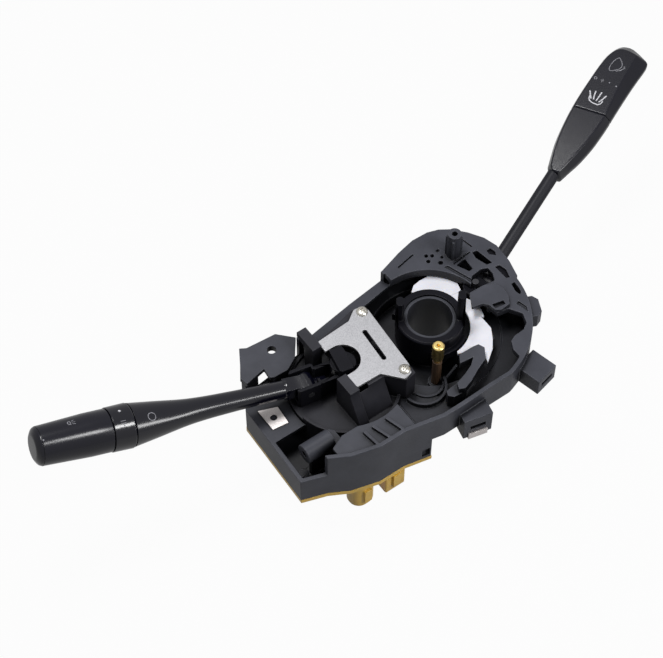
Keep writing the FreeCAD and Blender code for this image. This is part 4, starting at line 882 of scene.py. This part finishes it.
@dataclass
class Blades:
    """Flat brass blades with tapered tips, in rows inside a connector."""

    wide_mm: float = 2.8
    thick_mm: float = 0.8
    long_mm: float = 11.0
    tip_mm: float = 1.6
    tip_share: float = 0.45
    downward: float = -0.5
    rows: Sequence[tuple[str, Point, Sequence[float], Sequence[float]]] = (
        ("lighting_terminals", (-79.5, -41.0), (-3.9, 0.0, 3.9), (-2.2, 2.2)),
        ("turn_terminals", (-59.5, -42.0), (-3.4, 3.4), (-2.6, 2.6)),
        ("wiper_terminals", (47.0, -12.0), (-3.6, 3.6), (-5.6, 0.0, 5.6)))

    def tree(self) -> PatternTree:
        """Builds the tree of one blade on every place, hanging down from it.

        Returns:
            The tree, closed.
        """
        sizes = {"Width": self.wide_mm, "Thickness": self.thick_mm, "Length": self.long_mm,
                 "Tip": self.tip_mm}
        made = PatternTree("contact blades", {name: value * MM for name, value in sizes.items()})
        sheet, size = made.sheet, made.size
        straight = sheet.maths("SUBTRACT", size("Length"), size("Tip"))
        bar = sheet.add("GeometryNodeMeshCube", Size=made.vector(size("Width"), size("Thickness"), straight))
        hung = made.moved(bar, z=sheet.maths("MULTIPLY", straight, -0.5))
        facing = sheet.add("ShaderNodeSeparateXYZ", Vector=sheet.add("GeometryNodeInputNormal"))
        below = sheet.fill("FunctionNodeCompare", (facing.outputs["Z"], self.downward), data_type="FLOAT",
                           operation="LESS_THAN")
        tip = sheet.add("GeometryNodeExtrudeMesh", Mesh=hung, Selection=below, Offset_Scale=size("Tip"))
        narrow = sheet.add("GeometryNodeScaleElements", Geometry=tip, Selection=tip.outputs["Top"],
                           Scale=self.tip_share)
        made.close(narrow, BRASS)
        return made

    def build(self) -> None:
        """Fills the three connectors."""
        tree = self.tree()
        for node, (x, y), columns, ranks in self.rows:
            low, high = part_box(node)
            places = [((x + column) * MM, (y + rank) * MM, high.z) for column in columns for rank in ranks]
            made = tree.grow(f"{node}_tapered", places, BRASS, {"Length": high.z - low.z})
            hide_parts(node)


@dataclass(frozen=True)
class Mark:
    """One printed mark: a stroke along points, or a filled patch inside them, in millimetres."""

    points: tuple[Point, ...]
    width: float = 0.0
    closed: bool = False

    def sampled(self, step: float) -> list[Vector]:
        """Puts points between the corners.

        Args:
            step: Greatest distance between two points.

        Returns:
            The points, without the first one again where the mark is a ring or a patch.
        """
        corners = [Vector(point) for point in self.points]
        ring = self.closed or not self.width
        ends = corners[1:] + corners[:1] if ring else corners[1:]
        line = []
        for here, there in zip(corners, ends):
            count = max(1, math.ceil((there - here).length / step))
            line += [here.lerp(there, number / count) for number in range(count)]
        return line if ring else line + [corners[-1]]


@dataclass
class Print:
    """Pad print as thin closed plates that follow the surface under them."""

    name: str
    body: str
    marks: Sequence[Mark]
    surface: Callable[[float, float, float], Vector]
    finish: Finish
    sunk_mm: float = 0.03
    proud_mm: float = 0.05
    step_mm: float = 0.6
    least_mitre: float = 0.5

    def column(self, work: BMesh, point: Vector) -> tuple[BMVert, BMVert]:
        """Lower and upper vertex of one point of the print."""
        low, high = (self.surface(point.x, point.y, lift) for lift in (-self.sunk_mm, self.proud_mm))
        return work.verts.new(low * MM), work.verts.new(high * MM)

    def wall(self, work: BMesh, first: tuple, second: tuple) -> None:
        """Edge face of the print between two columns."""
        work.faces.new((first[0], second[0], second[1], first[1]))

    def stroke(self, work: BMesh, mark: Mark) -> None:
        """Adds a stroke of even width with mitred corners.

        Args:
            work: The mesh that takes the faces.
            mark: The stroke.
        """
        line = mark.sampled(self.step_mm)
        count = len(line)
        left, right = [], []
        for number, here in enumerate(line):
            before = line[number - 1] if number or mark.closed else here
            after = line[(number + 1) % count] if number < count - 1 or mark.closed else here
            ahead, behind = (after - here), (here - before)
            ahead = ahead.normalized() if ahead.length > SAME_POINT_MM else behind.normalized()
            behind = behind.normalized() if behind.length > SAME_POINT_MM else ahead
            along = (ahead + behind).normalized()
            side = Vector((-along.y, along.x))
            half = mark.width / 2 / max(self.least_mitre, along.dot(ahead))
            left.append(self.column(work, here + side * half))
            right.append(self.column(work, here - side * half))
        spans = count if mark.closed else count - 1
        for number in range(spans):
            other = (number + 1) % count
            corners = (left[number], right[number], right[other], left[other])
            for level in (0, 1):
                work.faces.new([column[level] for column in corners])
            self.wall(work, left[number], left[other])
            self.wall(work, right[number], right[other])
        if not mark.closed:
            self.wall(work, left[0], right[0])
            self.wall(work, left[-1], right[-1])

    def patch(self, work: BMesh, mark: Mark) -> None:
        """Adds a filled patch round its middle.

        Args:
            work: The mesh that takes the faces.
            mark: The patch.
        """
        line = mark.sampled(self.step_mm)
        middle = self.column(work, sum(line, Vector((0.0, 0.0))) / len(line))
        rim = [self.column(work, point) for point in line]
        for number, here in enumerate(rim):
            there = rim[(number + 1) % len(rim)]
            for level in (0, 1):
                work.faces.new((middle[level], here[level], there[level]))
            self.wall(work, here, there)

    def build(self) -> None:
        """Makes every mark as one piece."""
        work = bmesh.new()
        for mark in self.marks:
            if mark.width:
                self.stroke(work, mark)
            else:
                self.patch(work, mark)
        bmesh.ops.recalc_face_normals(work, faces=work.faces)
        hang(self.name, work, self.finish, self.body)


def disc(u: float, v: float, radius: float, count: int = 20) -> tuple[Point, ...]:
    """Points of a circle, in millimetres."""
    angles = (2 * math.pi * k / count for k in range(count))
    return tuple((u + radius * math.cos(angle), v + radius * math.sin(angle)) for angle in angles)


@dataclass
class Housing(SubAssembly):
    """Moulded housing with its switch case, cover, bracket and spring nuts."""

    mouldings: Sequence[Moulding] = (
        Moulding("main_housing", CHARCOAL, 0.4), Moulding("turn_signal_case", DULL, 0.3),
        Moulding("wiper_switch_cover", CHARCOAL, 0.3), Moulding("left_bracket", CHARCOAL, 0.35),
        Moulding("wire_guide", CHARCOAL, 0.25), Moulding("nylon_guide_plate", NYLON, 0.2),
        Moulding("retaining_plate", ALUMINIUM, 0.15),
        *alike(SPRING, 0.1, "left_spring_nut", "front_spring_nut"))
    pockets: Sequence[Sequence[Point]] = (
        ((57.6, 19.6), (60.4, 19.7), (61.2, 16.0), (60.0, 13.7), (57.4, 16.4)),
        ((54.1, 7.1), (57.0, 6.7), (58.2, 1.8), (56.4, -3.9), (54.4, -3.0)))
    pocket_z_mm: Point = (35.6, 36.2)
    seat_mm: float = 0.3

    def pocket_shade_plates(self) -> None:
        """Closes the deck's two openings over the lever gate with black plates, painted shade that makes them
        look like dark pockets.
        """
        work = bmesh.new()
        for corners in self.pockets:
            middle = sum((Vector(corner) for corner in corners), Vector((0.0, 0.0))) / len(corners)
            outward = [(Vector(corner) - middle).normalized() * self.seat_mm for corner in corners]
            spread = [Vector(corner) + push for corner, push in zip(corners, outward)]
            low, high = ([work.verts.new(Vector((*at, level)) * MM) for at in spread]
                         for level in self.pocket_z_mm)
            work.faces.new(low)
            work.faces.new(high)
            wall_between(work, low, high)
        bmesh.ops.recalc_face_normals(work, faces=work.faces)
        # Black plates that stand in for the shade inside the pockets.
        hang("deck_pocket_shade_plates", work, BLACK, "housing")

    def dress(self) -> None:
        """Makes the black plates that paint shade into the deck's pockets, then every moulding and nut."""
        self.pocket_shade_plates()
        super().dress()


@dataclass
class ColumnCentre(SubAssembly):
    """Cancel cam round the steering column, and the horn contact beside it."""

    mouldings: Sequence[Moulding] = (
        Moulding("cancel_cam", BLACK, 0.35), Moulding("horn_contact_pin", BRASS, 0.2),
        Moulding("horn_contact_sleeve", PHENOLIC, 0.15), Moulding("horn_contact_spring", PLATED, 0.0))


@dataclass
class TurnMechanism(SubAssembly):
    """Lever carrier, its pins, contacts and the cancel pawl."""

    mouldings: Sequence[Moulding] = (
        *alike(BLACK, 0.3, "turn_carrier", "cancel_pawl"),
        *alike(BLACK, 0.15, "turn_contact_slider", "dimmer_plunger"),
        *alike(BLACKENED, 0.15, "turn_pivot_pin", "dimmer_pivot_pin"))

    def dress(self) -> None:
        """Makes the mouldings and gives the flat contacts their brass."""
        super().dress()
        dress("turn_fixed_contacts", BRASS)


@dataclass
class LeftLever(SubAssembly):
    """Light and turn signal lever with its printed signs."""

    mouldings: Sequence[Moulding] = (Moulding("index_ring", LEVER, 0.25),)
    place: LeverFrame = field(default_factory=LeverFrame.of_left)
    split_mm: float = 15.5
    stations: Sequence[Point] = ((15.5, 5.25), (46.0, 5.9), (72.0, 7.2), (94.0, 10.3), (108.7, 12.4))
    past_lever: Sequence[Point] = ((109.0, 12.4), (109.8, 12.8), (121.5, 12.6), (121.9, 12.2), (133.9, 12.2),
                                   (161.6, 11.0), (165.0, 8.6))
    spigot: Point = (135.5, 8.0)
    bore_mm: float = 2.6
    knob_shell: Sequence[Triple] = (
        (121.9, 12.2, 0.5), (133.9, 12.2, 0.0), (161.6, 11.0, 0.0), (161.6, 6.05, 0.0),
        (141.9, 6.05, 0.0), (136.9, 8.05, 0.0), (121.9, 8.05, 0.0))
    cap_shell: Sequence[Triple] = (
        (161.6, 0.0, 0.0), (161.6, 10.9, 0.2), (163.0, 10.6, 1.4), (165.0, 7.3, 1.1), (165.0, 0.0, 0.0))
    lamp_at: Point = (143.9, -11.8)
    cap_dot_at: Point = (161.0, 20.3)
    index_at: Point = (116.0, 23.6)
    ring_dot_at: Point = (115.8, -10.3)
    ring_mark_at: Point = (98.9, 23.7)

    def skin_radius(self, along: float) -> float:
        """Radius of lever, ring and knob.

        Args:
            along: Distance from the pull axis in millimetres.

        Returns:
            The radius in millimetres.
        """
        edges = (*self.stations, *self.past_lever)
        for (x0, r0), (x1, r1) in zip(edges, edges[1:]):
            if x0 <= along <= x1:
                return r0 + (r1 - r0) * (along - x0) / (x1 - x0)
        return edges[0][1]

    def on_skin(self, along: float, arc: float, lift: float) -> Vector:
        """Finds a point on the skin, all in millimetres.

        Args:
            along: Distance from the pull axis.
            arc: Length of arc toward the front.
            lift: Height over the skin.

        Returns:
            The point in the part.
        """
        radius = self.skin_radius(along)
        reach, angle = radius + lift, arc / radius
        return self.place.point(along, reach * math.sin(angle), reach * math.cos(angle))

    def sign_at(self, spot: Point) -> Point:
        """Distance along and arc of a spot given by its distance along and its angle in degrees."""
        return spot[0], math.radians(spot[1]) * self.skin_radius(spot[0])

    def lever(self) -> None:
        """Makes the lever: its root as in the CAD, and its tapered part smooth."""
        node = "left_stalk"
        work = Moulding(node, LEVER).mesh()
        cut = self.place.matrix() @ Vector((self.split_mm * MM, 0.0, 0.0))
        bmesh.ops.bisect_plane(work, geom=[*work.verts, *work.edges, *work.faces], plane_co=cut,
                               plane_no=self.place.out, clear_outer=True)
        bmesh.ops.holes_fill(work, edges=[edge for edge in work.edges if edge.is_boundary])
        skin = bmesh.new()
        reach, spigot_r = self.spigot
        lathe(skin, [*smooth_profile(self.stations), (self.stations[-1][0], spigot_r), (reach, spigot_r),
                     (reach, self.bore_mm), (self.split_mm, self.bore_mm)])
        self.place.seat(skin)
        soften(skin)
        spare = bpy.data.meshes.new("lever_skin")
        skin.to_mesh(spare)
        skin.free()
        work.from_mesh(spare)
        bpy.data.meshes.remove(spare)
        made = hang("left_lever_smooth", work, LEVER, "left_lever")
        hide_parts(node)

    def turned(self, name: str, node: str, shell: Sequence[Triple], body: str) -> None:
        """Makes one turned piece of the knob.

        Args:
            name: Name of the piece.
            node: CAD node that it stands for.
            shell: (along, radius, corner radius) of its closed profile.
            body: CAD body that it rides on.
        """
        work = bmesh.new()
        lathe(work, rounded_profile(shell))
        self.place.seat(work)
        soften(work)
        made = hang(name, work, KNOB, body)
        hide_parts(node)

    def signs(self) -> None:
        """Prints the lamp sign, the dots and the index marks."""
        u, v = self.sign_at(self.lamp_at)
        angles = [math.pi * k / 10 - math.pi / 2 for k in range(11)]
        half_round = tuple((u + 1.5 * math.cos(angle), v + 1.3 * math.sin(angle)) for angle in angles)
        rays = [Mark(((u - 0.9, v + start), (u - long, v + end)), 0.4)
                for start, long, end in ((1.1, 2.6, 1.5), (0.0, 2.8, 0.0), (-1.1, 2.6, -1.5))]
        lamp = (Mark(half_round, 0.45, True), *rays, Mark(disc(*self.sign_at(self.cap_dot_at), 0.5)))
        Print("knob_lamp_sign", "light_knob", lamp, self.on_skin, PRINT_WORN).build()
        u, v = self.sign_at(self.index_at)
        marks = (Mark(((u - 1.6, v - 0.8), (u + 1.4, v - 0.9)), 0.35), Mark(disc(u, v + 1.8, 0.4)),
                 Mark(((u - 1.6, v + 0.5), (u + 1.4, v + 0.4)), 0.35))
        dot = Mark(disc(*self.sign_at(self.ring_dot_at), 0.75))
        circle = Mark(disc(*self.sign_at(self.ring_mark_at), 2.2, 28), 0.5, True)
        for name, signs, finish, proud in (("ring_index_marks", marks, PRINT_WORN, Print.proud_mm),
                                           ("ring_index_dot", (dot,), PRINT_WHITE, Print.proud_mm),
                                           ("lever_round_mark", (circle,), PRINT_WORN, 0.12)):
            Print(name, "left_lever", signs, self.on_skin, finish, proud_mm=proud).build()

    def dress(self) -> None:
        """Makes lever, ring, knob, cap and signs."""
        self.lever()
        super().dress()
        self.turned("light_knob_shell", "light_knob", self.knob_shell, "light_knob")
        self.turned("knob_cap_rounded", "knob_end_cap", self.cap_shell, "light_knob")
        dress("light_rotor", BLACK)
        self.signs()


@dataclass
class Paddle:
    """Handle of the wiper lever, lofted between four outlines and parted at its seam.

    Every row of the outline holds the distance along and across of the widest edge, and
    then of the edge of the flat top, in millimetres.
    """

    place: LeverFrame
    outline: Sequence[tuple[float, float, float, float]] = (
        (80.0, -5.0, 81.5, -3.4), (80.0, 4.4, 81.5, 2.4), (92.2, 8.0, 91.5, 5.9), (101.2, 10.4, 100.5, 8.2),
        (113.4, 12.2, 112.5, 10.3), (125.4, 13.4, 124.5, 11.4), (137.2, 13.8, 136.0, 11.8),
        (147.8, 13.7, 147.0, 11.7), (158.5, 13.5, 157.0, 11.4), (167.6, 12.9, 164.8, 10.7),
        (172.8, 11.3, 169.0, 9.6), (175.6, 10.0, 171.4, 8.6), (178.1, 8.4, 173.2, 7.2),
        (180.0, 5.9, 174.6, 5.2), (181.0, 1.3, 175.2, 1.3), (179.4, -4.4, 175.2, -2.6),
        (177.7, -8.7, 175.0, -5.0), (176.2, -12.4, 174.6, -5.7), (173.2, -13.0, 171.5, -5.7),
        (160.8, -12.2, 160.0, -6.0), (147.2, -12.0, 147.2, -6.9), (133.0, -12.1, 132.5, -8.7),
        (125.2, -12.3, 124.0, -9.6), (118.1, -12.1, 118.3, -8.9), (110.1, -11.7, 110.8, -8.4),
        (103.3, -10.8, 103.5, -7.5), (95.0, -9.3, 96.0, -6.3), (87.1, -6.9, 88.0, -4.9),
        (82.7, -5.6, 83.5, -3.9))
    narrow_rows: tuple[int, int] = (21, 23)
    narrow_y: float = -9.1
    top_mm: float = 5.5
    edge_mm: float = -0.4
    low_mm: float = -3.9
    low_tuck: float = 0.985
    tuck: float = 0.86
    under_lean: float = 1.7
    tip_from: float = 165.0
    tip_lean: float = 0.136
    seam_at: float = 127.6
    seam_slant: float = 0.16
    seam_gap: float = 0.16
    rounding_mm: float = 0.7
    sharp_deg: float = 24.0
    corner_cut: float = 0.25

    def levels(self, of_body: bool) -> list[list[Vector]]:
        """The four outlines from the underside to the top.

        Args:
            of_body: Whether the top is as narrow as on the body side of the seam.

        Returns:
            Points of each outline in local millimetres.
        """
        first, last = self.narrow_rows
        wide, flat, low, under = [], [], [], []
        for number, (s, y, top_s, top_y) in enumerate(self.outline):
            if of_body and first <= number < last:
                top_y = self.narrow_y
            lean = max(0.0, s - self.tip_from) * self.tip_lean
            wide.append(Vector((s, y, self.edge_mm)))
            flat.append(Vector((top_s, top_y, self.top_mm)))
            low.append(Vector((s - lean, y * self.low_tuck, self.low_mm)))
            under.append(Vector((s - self.under_lean * lean, y * self.tuck, -self.top_mm)))
        return [self.cornered(ring) for ring in (under, low, wide, flat)]

    def cornered(self, ring: list[Vector]) -> list[Vector]:
        """Cuts every corner of an outline, so that it runs smoothly inside the old one.

        Args:
            ring: The outline's points.

        Returns:
            Twice as many points.
        """
        sides = zip(ring, (*ring[1:], ring[0]))
        shares = (self.corner_cut, 1.0 - self.corner_cut)
        return [here.lerp(there, share) for here, there in sides for share in shares]

    def build(self, name: str, node: str, of_body: bool) -> None:
        """Makes one half of the handle.

        Args:
            name: Name of the piece.
            node: CAD node that it stands for.
            of_body: Whether it is the half at the rod.
        """
        work = bmesh.new()
        rings = [[work.verts.new(point * MM) for point in ring] for ring in self.levels(of_body)]
        for below, above in zip(rings, rings[1:]):
            wall_between(work, below, above)
        work.faces.new(list(reversed(rings[0])))
        work.faces.new(rings[-1])
        side = -1.0 if of_body else 1.0
        normal = Vector((1.0, self.seam_slant, 0.0)).normalized()
        on_seam = (Vector((self.seam_at, 0.0, 0.0)) + normal * side * self.seam_gap / 2) * MM
        bmesh.ops.bisect_plane(work, geom=[*work.verts, *work.edges, *work.faces], plane_co=on_seam,
                               plane_no=normal, clear_outer=of_body, clear_inner=not of_body)
        bmesh.ops.holes_fill(work, edges=[edge for edge in work.edges if edge.is_boundary])
        self.place.seat(work)
        soften(work, self.sharp_deg)
        made = hang(name, work, KNOB, "right_lever")
        Moulding(node, KNOB, self.rounding_mm, self.sharp_deg).round_edges(made)
        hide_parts(node)


@dataclass
class RightLever(SubAssembly):
    """Wiper lever: rod and two-part paddle with its printed signs."""

    mouldings: Sequence[Moulding] = (
        Moulding("wiper_carrier", BLACK, 0.25),
        *alike(BLACKENED, 0.1, "wiper_pivot_pin", "washer_pivot_pin"))
    place: LeverFrame = field(default_factory=LeverFrame.of_right)

    def on_top(self, along: float, across: float, lift: float) -> Vector:
        """Point on the flat top of the paddle."""
        return self.place.point(along, across, Paddle.top_mm + lift)

    def signs(self) -> None:
        """Prints the wiper sign, the row of speed marks and the spray sign."""
        drop = Mark(((168.4, 3.4), (166.9, 4.6), (164.4, 5.4), (161.4, 5.7), (158.8, 5.3), (157.7, 4.3),
                     (158.3, 2.8), (159.5, 1.4), (161.4, -0.4), (163.2, -1.0), (165.0, -0.5), (166.6, 0.8),
                     (167.7, 2.2)), 0.42, True)
        arrow = (Mark(((163.9, -2.9), (162.6, -2.6), (161.2, -1.8), (159.9, -0.4), (159.1, 0.8)), 0.5),
                 Mark(((164.2, -1.9), (163.9, -2.9), (162.9, -3.3)), 0.4))
        row = (Mark(disc(149.1, 9.3, 0.85), 0.4, True), Mark(((148.2, 4.6), (150.6, 4.7)), 0.5),
               Mark(((149.4, 5.6), (149.5, 3.7)), 0.4), Mark(disc(150.1, 0.0, 0.45)),
               Mark(disc(149.8, -4.8, 0.5)))
        jets = ((4.6, 139.8, 3.3), (2.9, 141.2, 1.6), (1.1, 142.0, -0.3), (-0.7, 141.2, -2.2))
        spray = [Mark(((135.2, base), (137.4, base + lean / 2), (tip, base + lean)), 0.8)
                 for base, tip, lean in jets]
        basin = Mark(((136.8, 6.2), (135.0, 5.9), (133.6, 4.9), (133.0, 2.2), (133.2, -1.0), (134.6, -2.4),
                      (136.8, -2.7)), 0.7)
        wiper, washer = (drop, *arrow, *row), (*spray, basin)
        Print("paddle_wiper_sign", "right_lever", wiper, self.on_top, PRINT_WORN).build()
        Print("paddle_spray_sign", "right_lever", washer, self.on_top, PRINT_WHITE).build()

    def dress(self) -> None:
        """Makes rod, paddle and signs."""
        Moulding("right_rod", ROD, 0.25).build()
        paddle = Paddle(self.place)
        paddle.build("paddle_body_lofted", "paddle_body", True)
        paddle.build("paddle_cap_lofted", "paddle_cap", False)
        super().dress()
        self.signs()


@dataclass
class ContactBase(SubAssembly):
    """Amber bases and connectors under the housing."""

    mouldings: Sequence[Moulding] = (
        Moulding("contact_base_plate", AMBER, 0.2, flange=1.024),
        *alike(AMBER, 0.2, "lighting_connector", "turn_connector", "wiper_base_plate", "wiper_connector"))


@dataclass
class Studio:
    """Pale floor, soft light, and the camera where the photograph was taken from."""

    azimuth_deg: float = -35.7
    elevation_deg: float = 55.0
    focal_px: float = 1900.0
    px_per_mm: float = 1.72
    aim: Vector = field(default_factory=lambda: Vector((0.0, 0.0, 40.0)) * MM)
    aim_px: Point = (430.0, 316.0)
    sensor_mm: float = 36.0
    clip: Point = (0.01, 20.0)
    floor_side: float = 6.0
    floor_grey: float = 0.30
    floor_white: float = 0.965
    sky: Colour = (0.95, 0.97, 1.0)
    ambient: float = 0.14
    mirrored: float = 0.5
    lamps: Sequence[tuple[str, Triple, Point, float]] = (
        ("overhead", (-0.12, 0.25, 1.05), (0.50, 0.22), 8.8),
        ("upper_softbox", (0.21, -0.61, 0.93), (0.18, 0.26), 3.8),
        ("front_strip", (0.44, -0.87, 0.48), (0.13, 0.48), 2.8))

    def camera(self) -> None:
        """Makes the camera from its viewing angle and from the pixel that the aim falls on."""
        turn = math.radians(self.azimuth_deg)
        rise = math.radians(self.elevation_deg)
        right = Vector((math.cos(turn), math.sin(turn), 0.0))
        ahead = Vector((-math.sin(turn) * math.cos(rise), math.cos(turn) * math.cos(rise), -math.sin(rise)))
        up = right.cross(ahead)
        distance = self.focal_px / self.px_per_mm * MM
        across = (self.aim_px[0] - PHOTO_WIDTH / 2) / self.focal_px
        down = (self.aim_px[1] - PHOTO_HEIGHT / 2) / self.focal_px
        data = bpy.data.cameras.new("camera")
        data.sensor_width = self.sensor_mm
        data.lens = self.sensor_mm * self.focal_px / PHOTO_WIDTH
        data.clip_start, data.clip_end = self.clip
        made = add_object("camera", data)
        turned = Matrix((right, up, -ahead)).transposed().to_4x4()
        stand = self.aim - distance * (ahead + across * right - down * up)
        made.matrix_world = Matrix.Translation(stand) @ turned
        bpy.context.scene.camera = made

    def split(self, sheet: NodeSheet, lit: Node, white: Node, share: float) -> Node:
        """Shows white to rays that see the backdrop straight or through, less of it if mirrored.

        Args:
            sheet: Nodes of the world or the floor.
            lit: Shader for all other rays.
            white: Shader of the white backdrop.
            share: How far the white covers the lit shader.

        Returns:
            The mixed shader.
        """
        path = sheet.add("ShaderNodeLightPath").outputs
        mirrored = sheet.maths("MULTIPLY", path["Is Glossy Ray"], self.mirrored)
        seen = sheet.maths("MAXIMUM", path["Is Camera Ray"], mirrored)
        seen = sheet.maths("MAXIMUM", seen, path["Is Transmission Ray"])
        factor = sheet.maths("MULTIPLY", seen, share)
        return sheet.fill("ShaderNodeMixShader", (factor, lit, white))

    def world(self) -> None:
        """White backdrop for what is seen, and a soft grey light for everything else."""
        world = bpy.data.worlds.new("studio")
        bpy.context.scene.world = world
        sheet = NodeSheet.of(world)
        light = sheet.add("ShaderNodeBackground", Color=(*self.sky, 1.0), Strength=self.ambient)
        white = sheet.add("ShaderNodeBackground", Color=WHITE, Strength=1.0)
        sheet.add("ShaderNodeOutputWorld", Surface=self.split(sheet, light, white, 1.0))

    def floor(self, level: float) -> None:
        """Pale floor under the lowest point, which keeps a faint shadow.

        Args:
            level: Height of the floor in metres.
        """
        half = self.floor_side / 2
        mesh = bpy.data.meshes.new("floor")
        corners = ((-half, -half), (half, -half), (half, half), (-half, half))
        mesh.from_pydata([(x, y, level) for x, y in corners], [], [(0, 1, 2, 3)])
        material = bpy.data.materials.new("pale floor")
        sheet = NodeSheet.of(material)
        grey = (self.floor_grey, self.floor_grey, self.floor_grey, 1.0)
        matt = sheet.add("ShaderNodeBsdfDiffuse", Color=grey)
        white = sheet.add("ShaderNodeEmission", Color=WHITE, Strength=1.0)
        sheet.add("ShaderNodeOutputMaterial", Surface=self.split(sheet, matt, white, self.floor_white))
        mesh.materials.append(material)
        made = add_object("floor", mesh)
        made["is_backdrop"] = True

    def lamp(self, name: str, stand: Sequence[float], size: Point, watts: float) -> None:
        """Hangs one soft rectangular lamp that faces the switch.

        Args:
            name: Name of the lamp.
            stand: Where it hangs, in metres.
            size: Its width and height in metres.
            watts: Its power.
        """
        data = bpy.data.lights.new(name, "AREA")
        data.shape = "RECTANGLE"
        data.size, data.size_y = size
        data.energy = watts
        made = add_object(name, data)
        made.location = stand
        made.rotation_mode = "QUATERNION"
        made.rotation_quaternion = (-Vector(stand)).to_track_quat("-Z", "Y")

    def build(self, level: float) -> None:
        """Makes camera, backdrop, floor and lamps.

        Args:
            level: Height of the floor in metres.
        """
        self.camera()
        self.world()
        self.floor(level)
        for lamp in self.lamps:
            self.lamp(*lamp)
        bpy.context.scene.view_settings.view_transform = "Standard"


def write_sizes() -> None:
    """Puts the CAD box and the visual model's box into plain lists, which are not kept."""
    boxes = {"cad": CAD_BOX, "visual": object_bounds()}
    {name: [list(corner) for corner in box] for name, box in boxes.items()}


def main() -> None:
    """Builds the studio and every sub-assembly in order."""
    logging.basicConfig(level=logging.INFO, format="%(message)s")
    Studio().build(CAD_BOX[0].z - FLOOR_GAP)
    for part in (Housing(), ColumnCentre(), TurnMechanism(), LeftLever(), RightLever(), ContactBase()):
        part.dress()
    for pattern in (Screws(), Blades()):
        pattern.build()
    write_sizes()


if __name__ == "__main__":
    main()
